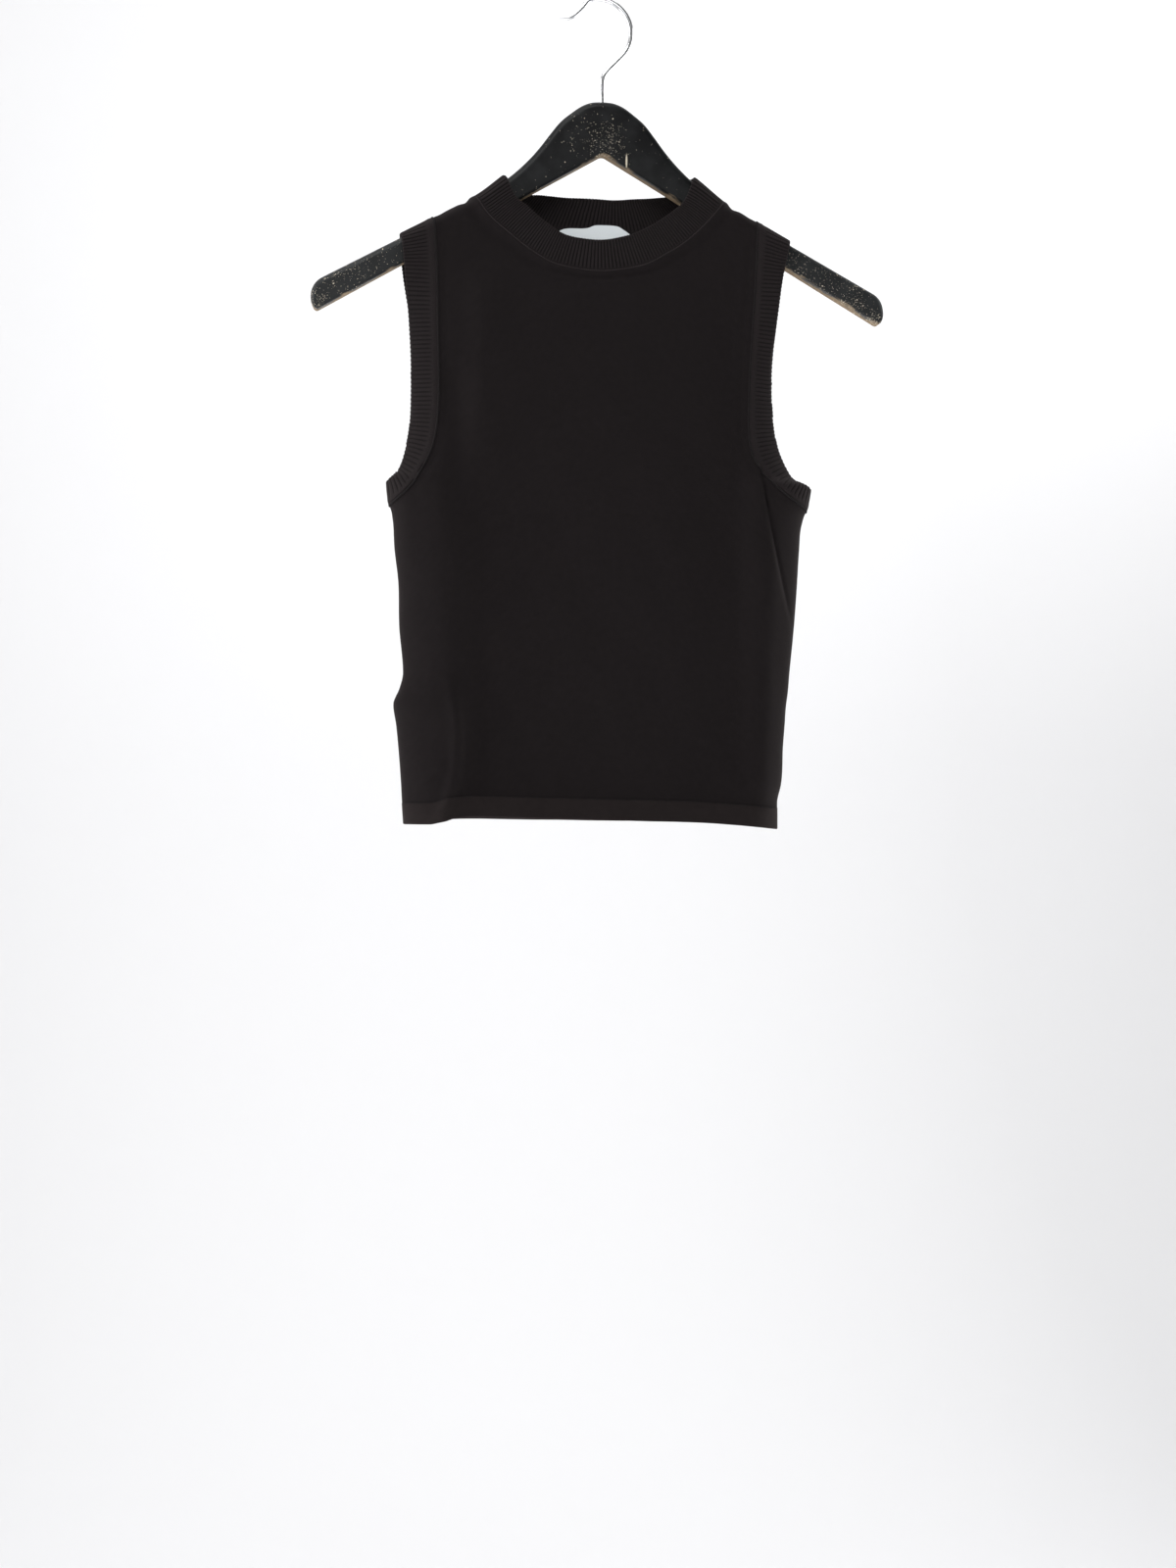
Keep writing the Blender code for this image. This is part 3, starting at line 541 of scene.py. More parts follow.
JERSEY = 0.0014
JERSEY_WALE, JERSEY_COURSE = 0.0015, 0.0011
FOLD_RADIUS = 0.009
FOLD_EXTRA = (math.pi / 2 - 1) * FOLD_RADIUS
FOLD_LIFT = 0.0023
NECK_LIFT, NECK_LIFT_ENDS = 0.0065, (0.066, 0.100)
VIRTUAL_FOLD_HALF_WIDTH = 0.050
SIDE_ROUNDING = 0.055
UNDERARM_DROP = 0.371
ARMHOLE_HALF_DEPTH = 0.0095
ARMHOLE_ROUND_START = 0.322
ARMHOLE_TURN_IN, ARMHOLE_TURNS = 0.0035, (0.205, 0.265)
HEM_HEIGHT = 0.016
OUTLINE = np.array((
    # drop, left edge, right edge: the armholes' free edges, then the side seams
    (0.140, -0.1525, 0.1505),
    (0.187, -0.1519, 0.1475),
    (0.205, -0.1497, 0.1436),
    (0.223, -0.1480, 0.1405),
    (0.246, -0.1460, 0.1380),
    (0.267, -0.1447, 0.1355),
    (0.290, -0.1442, 0.1346),
    (0.313, -0.1443, 0.1352),
    (0.328, -0.1451, 0.1368),
    (0.343, -0.1473, 0.1403),
    (0.3575, -0.1508, 0.1474),
    (0.3645, -0.1542, 0.1528),
    (0.371, -0.1612, 0.1661),
    (0.385, -0.1600, 0.1636),
    (0.400, -0.1568, 0.1588),
    (0.420, -0.1556, 0.1570),
    (0.450, -0.1524, 0.1551),
    (0.480, -0.1519, 0.1528),
    (0.516, -0.1490, 0.1492),
    (0.528, -0.1517, 0.1482),
    (0.540, -0.1563, 0.1466),
    (0.555, -0.1542, 0.1455),
    (0.570, -0.1527, 0.1443),
    (0.600, -0.1505, 0.1427),
    (0.615, -0.1497, 0.1396),
    (0.640, -0.1480, 0.1396),
))
HALF_DEPTH = np.array((
    # drop, distance of front and back from the middle plane
    (0.140, 0.0090),
    (0.190, 0.0096),
    (0.250, 0.0130),
    (0.320, 0.0180),
    (0.380, 0.0206),
    (0.450, 0.0208),
    (0.520, 0.0195),
    (0.600, 0.0205),
    (0.640, 0.0210),
))
CREASES = {
    # x and drop of its upper end; of its lower end; bow to the right; width left and right of its
    # line; rise left and right of it, which differ where the cloth laps over in a fold
    "front": (
        (-0.1240, 0.410, -0.1180, 0.600, 0.000, 0.020, 0.014, 0.0014, 0.0014),
        (-0.0880, 0.330, -0.0880, 0.645, 0.000, 0.018, 0.100, -0.0076, -0.0076),
        (-0.0900, 0.205, -0.0890, 0.370, 0.000, 0.013, 0.022, 0.0030, 0.0030),
        (-0.1130, 0.280, -0.1060, 0.420, 0.000, 0.010, 0.010, -0.0026, -0.0026),
        (0.1000, 0.190, 0.1040, 0.640, 0.000, 0.050, 0.017, -0.0056, -0.0056),
        (0.1226, 0.350, 0.1500, 0.478, -0.003, 0.014, 0.010, 0.0008, -0.0002),
        (0.1234, 0.352, 0.1508, 0.480, -0.003, 0.0017, 0.0017, -0.0020, -0.0020),
        (-0.1155, 0.524, -0.1245, 0.634, 0.0090, 0.0052, 0.0045, 0.0026, 0.0026),
        (-0.1180, 0.584, -0.1430, 0.600, 0.001, 0.0032, 0.0032, 0.0013, 0.0013),
        (-0.1560, 0.534, -0.1300, 0.545, -0.002, 0.008, 0.009, 0.0007, 0.0007),
        (-0.1510, 0.380, -0.1500, 0.440, 0.000, 0.007, 0.008, 0.0020, 0.0020),
        (-0.0720, 0.470, -0.0800, 0.600, 0.002, 0.010, 0.016, 0.0008, 0.0008),
        (0.0600, 0.330, 0.0700, 0.560, -0.002, 0.018, 0.020, 0.0009, 0.0009),
        (0.1310, 0.400, 0.1240, 0.640, 0.000, 0.016, 0.010, 0.0026, 0.0026),
    ),
    "back": (
        (0.0900, 0.330, 0.0980, 0.610, 0.000, 0.026, 0.016, -0.0028, -0.0028),
        (-0.1040, 0.260, -0.0960, 0.540, 0.003, 0.016, 0.024, -0.0024, -0.0024),
        (-0.1200, 0.345, -0.1480, 0.470, 0.003, 0.010, 0.012, -0.0018, 0.0024),
        (0.1240, 0.380, 0.1460, 0.455, -0.002, 0.009, 0.010, 0.0018, 0.0018),
        (0.1300, 0.560, 0.1040, 0.604, 0.002, 0.008, 0.006, 0.0013, 0.0013),
        (-0.0400, 0.380, -0.0300, 0.600, 0.000, 0.020, 0.018, 0.0009, 0.0009),
    ),
}
CREASE_GROWS, CREASE_DIES = (-0.12, 0.22), (0.78, 1.12)
LAP_WIDTH = 0.0012
WAVES = (
    # height, turns per metre across and down, start
    (0.00028, 11.0, 6.0, 0.20),
    (0.00018, -17.0, 9.0, 0.55),
    (0.00010, 31.0, -13.0, 0.10),
)
WAVES_GROW, BACK_WAVES_START = (0.19, 0.26), 0.37
SMALLEST_STEP = 1e-6


def fold_drop(x):
    """Drop of the fold over the arms, and of its imagined line across the neck."""
    away = np.asarray(x) - SHANK_X
    wood = WOOD_TOP_AT_CENTRE + WOOD_TOP_SLOPE * soft_distance(away, VIRTUAL_FOLD_HALF_WIDTH)
    lift = FOLD_LIFT + NECK_LIFT * (1 - ramp(*NECK_LIFT_ENDS, np.abs(away)))
    return wood - lift - WOOD_TILT * away


def down_from_drop(x, drop):
    """Distance down the cloth at that x and drop. A drop above the fold counts as the fold."""
    below = np.maximum(drop - fold_drop(x), 0)
    on_fold = FOLD_RADIUS * np.arccos(np.clip(1 - below / FOLD_RADIUS, -1, 1))
    return np.where(below < FOLD_RADIUS, on_fold, below + FOLD_EXTRA)


def drop_from_down(x, down):
    """The drop at that x and distance down the cloth, below the fold's round."""
    return fold_drop(x) + down - FOLD_EXTRA


def outline_at(drop):
    return (table_at(OUTLINE, side, drop) for side in (1, 2))


def crease_rise(face, x, drop):
    """How far the soft creases lift the cloth: each is a rounded ridge, trough or lap along a bowed line."""
    rise = 0
    for x_top, drop_top, x_low, drop_low, bow, left, right, left_rise, right_rise in CREASES[face]:
        line = np.array((x_low - x_top, drop_low - drop_top))
        length = np.linalg.norm(line)
        t = ((x - x_top) * line[0] + (drop - drop_top) * line[1]) / length**2
        across = ((x - x_top) * line[1] - (drop - drop_top) * line[0]) / length
        across = across - bow * 4 * t * (1 - t)
        lap = ramp(-LAP_WIDTH, LAP_WIDTH, across) if left_rise != right_rise else across > 0
        profile = (1 - lap) * left_rise * np.exp(-((across / left) ** 2))
        profile = profile + lap * right_rise * np.exp(-((across / right) ** 2))
        rise = rise + profile * ramp(*CREASE_GROWS, t) * (1 - ramp(*CREASE_DIES, t))
    return rise


def unevenness(face, x, drop):
    """Slow waves of a few tenths of a millimetre, other ones on the back."""
    start = 0 if face == "front" else BACK_WAVES_START
    return sum(height * np.sin(2 * math.pi * (across * x + down * drop + begin + start))
               for height, across, down, begin in WAVES)


def cloth_point(face, x, down):
    """The middle of the cloth: points of shape (..., 3)."""
    turn = np.clip(down / FOLD_RADIUS, -math.pi / 2, math.pi / 2)
    straight = np.maximum(down - math.pi / 2 * FOLD_RADIUS, 0)
    drop = fold_drop(x) + FOLD_RADIUS * (1 - np.cos(turn)) + straight
    left, right = outline_at(drop)
    inset = np.clip(np.minimum(x - left, right - x) / SIDE_ROUNDING, 0, 1)
    full = table_at(HALF_DEPTH, 1, drop)
    full = full + crease_rise(face, x, drop) + unevenness(face, x, drop) * ramp(*WAVES_GROW, drop)
    t = np.clip((drop - ARMHOLE_ROUND_START) / (UNDERARM_DROP - ARMHOLE_ROUND_START), 0, 1)
    armhole = ARMHOLE_HALF_DEPTH - ARMHOLE_TURN_IN * ramp(*ARMHOLE_TURNS, drop)
    edge = np.minimum(armhole * np.sqrt(1 - t**2), full)
    round_in = 1 - (1 - inset) ** 2
    half = np.sqrt(edge**2 + (full**2 - edge**2) * round_in) * np.sin(turn)
    return np.stack([x, half if face == "back" else -half, -drop], axis=-1)


def cloth_normal(face, x, down):
    """Unit normals that point away from the hollow between front and back."""
    inward = np.where(x < 0, 1.0, -1.0)
    here = cloth_point(face, x, down)
    along_x = (cloth_point(face, x + inward * SMALLEST_STEP, down) - here) * inward[..., None]
    below, above = (cloth_point(face, x, down + step) for step in (SMALLEST_STEP, -SMALLEST_STEP))
    normal = unit(np.cross(along_x, below - above))
    return normal if face == "back" else -normal


# In the next tables a drop above the fold stands for the fold itself.
ARMHOLE_BACK_SHIFT = np.array((
    # drop, how far right of the front's the back's left armhole stands, and its right armhole
    (0.180, 0.0000, 0.0000),
    (0.215, 0.0000, 0.0040),
    (0.250, 0.0020, 0.0030),
    (0.290, 0.0026, 0.0005),
    (0.340, 0.0020, 0.0000),
    (0.365, 0.0000, 0.0000),
))
ARMHOLE_LEFT = np.array((
    # free edge x, free edge drop, seam x, seam drop
    (-0.1520, 0.150, -0.1282, 0.1500),
    (-0.1490, 0.215, -0.1255, 0.2160),
    (-0.1459, 0.250, -0.1249, 0.2500),
    (-0.1442, 0.290, -0.1244, 0.2900),
    (-0.1447, 0.322, -0.1252, 0.3230),
    (-0.1482, 0.347, -0.1321, 0.3536),
    (-0.1542, 0.3645, -0.1461, 0.3766),
    (-0.1612, 0.371, -0.1600, 0.3895),
))
ARMHOLE_RIGHT = np.array((
    # free edge x, free edge drop, seam x, seam drop
    (0.1503, 0.150, 0.1242, 0.1500),
    (0.1420, 0.215, 0.1216, 0.2150),
    (0.1377, 0.250, 0.1194, 0.2490),
    (0.1346, 0.290, 0.1166, 0.2890),
    (0.1361, 0.322, 0.1154, 0.3230),
    (0.1417, 0.347, 0.1221, 0.3556),
    (0.1528, 0.3645, 0.1426, 0.3761),
    (0.1661, 0.371, 0.1630, 0.3880),
))
NECK_FRONT = np.array((
    # free edge x, free edge drop, seam x, seam drop
    (-0.0737, 0.130, -0.0969, 0.130),
    (-0.0665, 0.152, -0.0870, 0.1665),
    (-0.0560, 0.1615, -0.0735, 0.1790),
    (-0.0420, 0.1730, -0.0560, 0.1925),
    (-0.0240, 0.1828, -0.0315, 0.2050),
    (0.0000, 0.1850, 0.0000, 0.2085),
    (0.0220, 0.1805, 0.0300, 0.2035),
    (0.0410, 0.1715, 0.0545, 0.1910),
    (0.0560, 0.1610, 0.0725, 0.1775),
    (0.0670, 0.1490, 0.0880, 0.1615),
    (0.0745, 0.130, 0.0990, 0.130),
))
NECK_BACK = np.array((
    # free edge x, free edge drop, seam x, seam drop
    (-0.0737, 0.130, -0.0969, 0.130),
    (-0.0600, 0.1465, -0.0820, 0.1640),
    (-0.0440, 0.1480, -0.0620, 0.1705),
    (-0.0200, 0.1492, -0.0300, 0.1737),
    (0.0080, 0.1495, 0.0050, 0.1743),
    (0.0300, 0.1480, 0.0400, 0.1742),
    (0.0467, 0.1465, 0.0640, 0.1703),
    (0.0620, 0.1430, 0.0830, 0.1615),
    (0.0745, 0.130, 0.0990, 0.130),
))
HEM_EDGE = np.array((
    # x, drop of the front's lower edge, drop of the back's
    (-0.150, 0.6304, 0.6304),
    (-0.131, 0.6303, 0.6300),
    (-0.117, 0.6266, 0.6276),
    (-0.100, 0.6252, 0.6268),
    (-0.050, 0.6264, 0.6276),
    (0.000, 0.6277, 0.6284),
    (0.079, 0.6300, 0.6300),
    (0.110, 0.6322, 0.6320),
    (0.140, 0.6350, 0.6350),
))
COLUMN_GAPS = (
    # distance from the side, gap between the knit's columns of points
    (0.000, 0.0003),
    (0.006, 0.0012),
    (0.048, 0.0012),
    (0.066, 0.0032),
    (0.160, 0.0032),
)
ROW_GAPS = (
    # distance below the neck edge or the shoulder, gap between rows
    (0.000, 0.0006),
    (0.009, 0.0007),
    (0.020, 0.0022),
    (0.235, 0.0024),
)
LOWER_ROW_GAPS = (
    # distance above the hem, gap between rows
    (0.000, 0.0006),
    (0.004, 0.0008),
    (0.012, 0.0024),
    (0.225, 0.0024),
)
FINE_SAMPLES, SEAM_SAMPLES = 2000, 240
SHOULDER_WIDTH = 0.042
NECK_COLUMN_EASE = 0.62
TUCK = 0.0006
NECK_ROLL_HEIGHT, NECK_ROLL_AWAY, NECK_ROLL_WIDTH = 0.0009, 0.0012, 0.0018
NECK_TROUGH, ARMHOLE_TROUGH = 0.0011, 0.0003
TROUGH_AWAY, TROUGH_WIDTH = 0.0066, 0.0030
HEM_GROOVE_DEPTH, HEM_GROOVE_WIDTH = 0.0001, 0.0020


def edge_pair(table, at, shift=0):
    """The free edge and the seam of a band at fractions of its length, each of shape (len(at), 2)."""
    curves = []
    for c in (0, 2):
        x, drop = table[:, c], table[:, c + 1]
        if shift:
            x = x + table_at(ARMHOLE_BACK_SHIFT, shift, drop)
        curves.append(np.stack([x, down_from_drop(x, drop)], axis=-1))
    lengths = np.linalg.norm(np.diff(curves[1], axis=0), axis=1)
    keys = np.concatenate([[0], np.cumsum(lengths)]) / lengths.sum()
    return [np.stack([smooth(keys, curve[:, k], at) for k in (0, 1)], axis=-1) for curve in curves]


def onto_side_seam(point, side):
    """Moves a point along x onto the side seam."""
    drop = drop_from_down(*point)
    x = table_at(OUTLINE, side, drop)
    return np.array([x, down_from_drop(x, drop)])


def panel_edge(table, at, shift=0):
    """The panel's edge, tucked a little way into the band's seam."""
    free, seam = edge_pair(table, at, shift)
    return seam - unit(seam - free) * TUCK


def eased(count):
    """Fractions from 0 to 1, closer together near both ends."""
    t = np.linspace(0, 1, count + 1)
    return t - NECK_COLUMN_EASE * np.sin(2 * math.pi * t) / (2 * math.pi)


def fractions_by_gap(gaps):
    """Fractions from 0 to 1 of the last distance, whose steps follow the gaps in the table."""
    gaps = np.array(gaps)
    fine = np.linspace(0, gaps[-1, 0], FINE_SAMPLES)
    steps = np.r_[0, np.cumsum(np.diff(fine) / np.interp(fine[1:], gaps[:, 0], gaps[:, 1]))]
    even = np.linspace(0, steps[-1], round(steps[-1]) + 1)
    return np.interp(even, steps, fine) / fine[-1]


def column_fractions():
    """Where a panel's columns stand across it: dense where the sides round away, then even."""
    half = fractions_by_gap(COLUMN_GAPS) / 2
    return np.concatenate([half, 1 - half[-2::-1]])


def hem_drops(face, fractions):
    x = HEM_EDGE[0, 0] + (HEM_EDGE[-1, 0] - HEM_EDGE[0, 0]) * fractions
    return table_at(HEM_EDGE, 1 if face == "front" else 2, x)


def side_to_side(drops, fractions):
    """Points at these fractions of the way from the left side seam to the right, as (x, down)."""
    left, right = outline_at(drops)
    x = left + (right - left) * fractions
    return np.stack([x, down_from_drop(x, drops)], axis=-1)


def panel_grid(face):
    """A panel as (x, down): an upper block blended from its four edges, and rows from there to the hem."""
    fractions = column_fractions()
    rows = fractions_by_gap(ROW_GAPS)
    shifts = (1, 2) if face == "back" else (0, 0)
    left, right = panel_edge(ARMHOLE_LEFT, rows, shifts[0]), panel_edge(ARMHOLE_RIGHT, rows, shifts[1])
    shoulder = fractions[fractions * 2 * COLUMN_GAPS[-1][0] <= SHOULDER_WIDTH]
    shoulder = (shoulder / shoulder[-1])[:, None]
    neck_steps = len(fractions) + 1 - 2 * len(shoulder)
    neck = panel_edge(NECK_FRONT if face == "front" else NECK_BACK, eased(neck_steps))
    neck[0, 1] = neck[-1, 1] = left[0, 1] = right[0, 1] = 0
    left_shoulder = left[0] + (neck[0] - left[0]) * shoulder
    right_shoulder = right[0] + (neck[-1] - right[0]) * shoulder[::-1]
    top = np.concatenate([left_shoulder[:-1], neck, right_shoulder[1:]])
    left[-1], right[-1] = onto_side_seam(left[-1], 1), onto_side_seam(right[-1], 2)
    start_left, start_right = (drop_from_down(*edge[-1]) for edge in (left, right))
    start = start_left + (start_right - start_left) * fractions
    bottom = side_to_side(start, fractions)
    v, f = rows[:, None, None], fractions[None, :, None]
    corners = (1 - v) * ((1 - f) * top[0] + f * top[-1]) + v * ((1 - f) * bottom[0] + f * bottom[-1])
    upper = (1 - v) * top[None] + v * bottom[None] + (1 - f) * left[:, None] + f * right[:, None] - corners
    end = hem_drops(face, fractions) - HEM_HEIGHT + TUCK
    lower = np.array([side_to_side(start + (end - start) * t, fractions)
                      for t in 1 - fractions_by_gap(LOWER_ROW_GAPS)[-2::-1]])
    return np.concatenate([upper, lower])


def distance_to(grid, line):
    """How far each grid point is from a line of points, both as (x, down)."""
    flat = grid.reshape(-1, 2)
    return np.min(np.linalg.norm(flat[:, None] - line[None], axis=2), axis=1).reshape(grid.shape[:2])


def seam_relief(face, grid):
    """The small roll of knit below the neck seam, the shallow troughs beside all seams, and the groove
    above the hem."""
    shifts = (1, 2) if face == "back" else (0, 0)
    at = np.linspace(0, 1, SEAM_SAMPLES)
    neck_table = NECK_FRONT if face == "front" else NECK_BACK
    lines = [edge_pair(table, at, shift)[1]
             for table, shift in ((neck_table, 0), (ARMHOLE_LEFT, shifts[0]), (ARMHOLE_RIGHT, shifts[1]))]
    away = [distance_to(grid, line) for line in lines]
    rise = NECK_ROLL_HEIGHT * np.exp(-(((away[0] - NECK_ROLL_AWAY) / NECK_ROLL_WIDTH) ** 2))
    for distance, depth in zip(away, (NECK_TROUGH, ARMHOLE_TROUGH, ARMHOLE_TROUGH)):
        rise -= depth * np.exp(-(((distance - TROUGH_AWAY) / TROUGH_WIDTH) ** 2))
    above_hem = grid[-1:, :, 1] - grid[..., 1]
    return rise - HEM_GROOVE_DEPTH * np.exp(-((above_hem / HEM_GROOVE_WIDTH) ** 2))


def add_surface(name, points, cloth, flip=False):
    """A surface through rows of points, with its cloth map: metres along the cloth."""
    rows, columns = points.shape[:2]
    faces = [(i * columns + j, i * columns + j + 1, (i + 1) * columns + j + 1, (i + 1) * columns + j)
             for i in range(rows - 1) for j in range(columns - 1)]
    if flip:
        faces = [face[::-1] for face in faces]
    surface = add_mesh(name, points.reshape(-1, 3), faces)
    layer = surface.data.uv_layers.new(name="cloth")
    layer.data.foreach_set("uv", cloth.reshape(-1, 2)[np.concatenate(faces)].ravel())
    return surface


def give_wall(surface, thickness):
    """Makes a surface a closed wall that reaches half its thickness to either side."""
    wall = surface.modifiers.new("wall", "SOLIDIFY")
    wall.thickness = thickness
    wall.offset = 0
    bake(surface)
    face_outward(surface, sharp_degrees=60)


def add_panel(face):
    grid = panel_grid(face)
    points = cloth_point(face, grid[..., 0], grid[..., 1])
    points += cloth_normal(face, grid[..., 0], grid[..., 1]) * seam_relief(face, grid)[..., None]
    rows, columns = grid.shape[:2]
    step = np.linalg.norm(np.diff(points, axis=1), axis=2)
    across = np.concatenate([np.zeros((rows, 1)), np.cumsum(step, axis=1)], axis=1)
    across -= across[:, columns // 2][:, None]
    cloth = np.stack([across, grid[..., 1]], axis=-1)
    panel = add_surface(face + "_knit", points, cloth, flip=face == "front")
    give_wall(panel, JERSEY)
    return panel


KNIT_DARK = (0.0055, 0.0044, 0.0047, 1)
KNIT_LIGHT = (0.0104, 0.0084, 0.0088, 1)
# Painted light: the hem's knit is the body's yarn, coloured lighter where the hem catches more light.
LIT_HEM_DARK = (0.0084, 0.0066, 0.0067, 1)
LIT_HEM_LIGHT = (0.0158, 0.0124, 0.0124, 1)
RIB_LIGHT = (0.0155, 0.0127, 0.0132, 1)
# Painted shade for the sunk lines between the ribs.
GROOVE_PAINTED_SHADE = (0.0026, 0.0022, 0.0023, 1)
SHEEN_WARMTH = (1.0, 0.86, 0.83, 1)
V_CLIMB, LEG_ROUNDNESS, YARN_ROUNDNESS = 1.5, 0.6, 0.5
GROOVE_SHADE_SIDES = (0.28, 0.06)
FUZZ_SCALE, CLOUD_SCALE, MOTTLE_SCALE = 2600, 22, 190
STITCH_PAINTED_SHADE, FUZZ_SHADE, CLOUD_SHADE, MOTTLE_SHADE, SHADE_BELOW = 0.45, 0.5, 0.35, 0.5, 0.37
KNIT_RELIEF, KNIT_RELIEF_DEPTH = 0.35, 0.0003


def knit(name, wale, course, dark, light, ribbed=False, groove_shade=0.0):
    """Plain knit on the cloth map: V-shaped stitches in columns a wale wide, a course high. On a rib
    each wale lies on a ridge, and the groove between it and the next is darkened with painted shade, as
    dark as the groove argument says."""
    finish, tree, shader = new_finish(name)
    cloth = node(tree, "ShaderNodeUVMap", {}, uv_map="cloth").outputs[0]
    parts = node(tree, "ShaderNodeSeparateXYZ", {0: cloth})
    columns = calc(tree, "MULTIPLY_ADD", parts.outputs[0], 1 / wale, 0.5 if ribbed else 0.0)
    rows = calc(tree, "DIVIDE", parts.outputs[1], course)
    legs = calc(tree, "FRACT", calc(tree, "MULTIPLY", columns, 2.0))
    leg = calc(tree, "SINE", calc(tree, "MULTIPLY", legs, math.pi))
    outward = calc(tree, "MULTIPLY", calc(tree, "PINGPONG", columns, 0.5), V_CLIMB)
    loop = calc(tree, "FRACT", calc(tree, "SUBTRACT", rows, outward))
    across_yarn = calc(tree, "SINE", calc(tree, "MULTIPLY", loop, math.pi))
    stitch = calc(tree, "MULTIPLY", calc(tree, "POWER", leg, LEG_ROUNDNESS),
                  calc(tree, "POWER", across_yarn, YARN_ROUNDNESS))
    fuzz, cloud = noise(tree, cloth, FUZZ_SCALE, 3), noise(tree, cloth, CLOUD_SCALE, 4)
    mottle = noise(tree, cloth, MOTTLE_SCALE, 2)
    # The stitch pattern darkens the colour between the yarn legs: painted shade. Fuzz, clouds and mottle are
    # the yarn's own uneven tone.
    shade = calc(tree, "MULTIPLY_ADD", stitch, STITCH_PAINTED_SHADE, calc(tree, "MULTIPLY", fuzz, FUZZ_SHADE))
    shade = calc(tree, "MULTIPLY_ADD", cloud, CLOUD_SHADE, calc(tree, "SUBTRACT", shade, SHADE_BELOW))
    shade = calc(tree, "MULTIPLY_ADD", mottle, MOTTLE_SHADE, shade)
    colour = blend(tree, shade, dark, light)
    if ribbed:
        # Painted shade in the sunk lines between the ribs, where the band's ribs are raised.
        groove_shade_mask = soft_step(tree, calc(tree, "PINGPONG", columns, 0.5), *GROOVE_SHADE_SIDES, 0.0, groove_shade)
        ribs_there = node(tree, "ShaderNodeAttribute", {}, attribute_name="rib_relief").outputs["Fac"]
        colour = blend(tree, calc(tree, "MULTIPLY", groove_shade_mask, ribs_there), colour, GROOVE_PAINTED_SHADE)
    height = calc(tree, "MULTIPLY_ADD", fuzz, 0.5, stitch)
    feed(tree, shader, {
        "Base Color": colour,
        "Roughness": 0.9,
        "Specular IOR Level": 0.06,
        "Sheen Weight": 0.05,
        "Sheen Roughness": 0.45,
        "Sheen Tint": SHEEN_WARMTH,
        "Normal": bump(tree, height, KNIT_RELIEF, KNIT_RELIEF_DEPTH),
    })
    return finish


jersey = knit("black_brown_jersey", JERSEY_WALE, JERSEY_COURSE, KNIT_DARK, KNIT_LIGHT)
front = add_panel("front")
back = add_panel("back")
for panel, cad_node in ((front, "front_panel"), (back, "back_panel")):
    panel.data.materials.append(jersey)
    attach(panel, "root")
    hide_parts(cad_node)


# Hems. The lower edges of front and back are turned up once inside and linked, so they are two
# layers thick, with a soft rounded fold at the bottom and a fine row of stitches along their top.
# Their knit is coloured lighter than the body's, as painted light.

HEM = 0.0019
HEM_ROWS = 9
HEM_FLARE, HEM_FLARE_STARTS = 0.0034, 0.10
NOSE_STEPS = 9
HEM_STITCH = (0.0016, 0.0015, 0.0006, 0.0005)
STITCH_LEAN = math.radians(12)
STITCH_SEGMENTS, STITCH_RINGS = 10, 6
YARN_TWIST_SCALE = 1800
STITCHES_FROM_SIDE = 2


def strip_shell(middle, normals, thickness):
    """Cross-sections of a doubled strip: outer side, a round nose at the free edge, inner side."""
    half = thickness / 2
    out = unit(middle[:, 0] - middle[:, 1])
    centre = middle[:, 0] - out * half
    loop = [middle[:, j] + normals[:, j] * half for j in range(middle.shape[1] - 1, 0, -1)]
    for angle in np.radians(np.linspace(90, -90, NOSE_STEPS)):
        loop.append(centre + half * (math.cos(angle) * out + math.sin(angle) * normals[:, 0]))
    loop += [middle[:, j] - normals[:, j] * half for j in range(1, middle.shape[1])]
    return np.stack(loop, axis=1)


def add_strip(name, sections, along, ring):
    """A closed mesh of cross-sections, in a ring or capped, with its cloth map."""
    rows, size = sections.shape[:2]
    step = np.linalg.norm(np.diff(sections, axis=1), axis=2).mean(axis=0)
    across = np.r_[0, np.cumsum(step), step.sum() + np.linalg.norm(sections[0, 0] - sections[0, -1])]
    faces, corners = [], []
    for i in range(rows if ring else rows - 1):
        below = (i + 1) % rows
        for j in range(size):
            beside = (j + 1) % size
            faces.append((i * size + j, below * size + j, below * size + beside, i * size + beside))
            corners.append([(along[i], across[j]), (along[i + 1], across[j]),
                            (along[i + 1], across[j + 1]), (along[i], across[j + 1])])
    if not ring:
        for i in (0, rows - 1):
            faces.append(tuple(range(i * size, (i + 1) * size))[:: 1 if i else -1])
            corners.append([(along[i], across[j]) for j in range(size)][:: 1 if i else -1])
    strip = add_mesh(name, sections.reshape(-1, 3), faces)
    layer = strip.data.uv_layers.new(name="cloth")
    layer.data.foreach_set("uv", np.concatenate([np.ravel(c) for c in corners]))
    return strip


def hem_grid(face):
    """The hem's middle points, from its fold up to its seam, and their outward normals."""
    fractions = column_fractions()
    edge = hem_drops(face, fractions)
    up = np.linspace(0, 1, HEM_ROWS)
    rows = np.array([side_to_side(edge - HEM_HEIGHT * t, fractions) for t in up])
    grid = rows.transpose(1, 0, 2)
    middle = cloth_point(face, grid[..., 0], grid[..., 1])
    normals = cloth_normal(face, grid[..., 0], grid[..., 1])
    flare = HEM_FLARE * ramp(0, HEM_FLARE_STARTS, np.minimum(fractions, 1 - fractions))
    middle += normals * (flare[:, None] * (1 - up))[..., None]
    for side, outward in ((0, -1), (-1, 1)):
        normals[side] = (outward, 0, 0)
        middle[side, :, 1] = 0
    return middle, normals


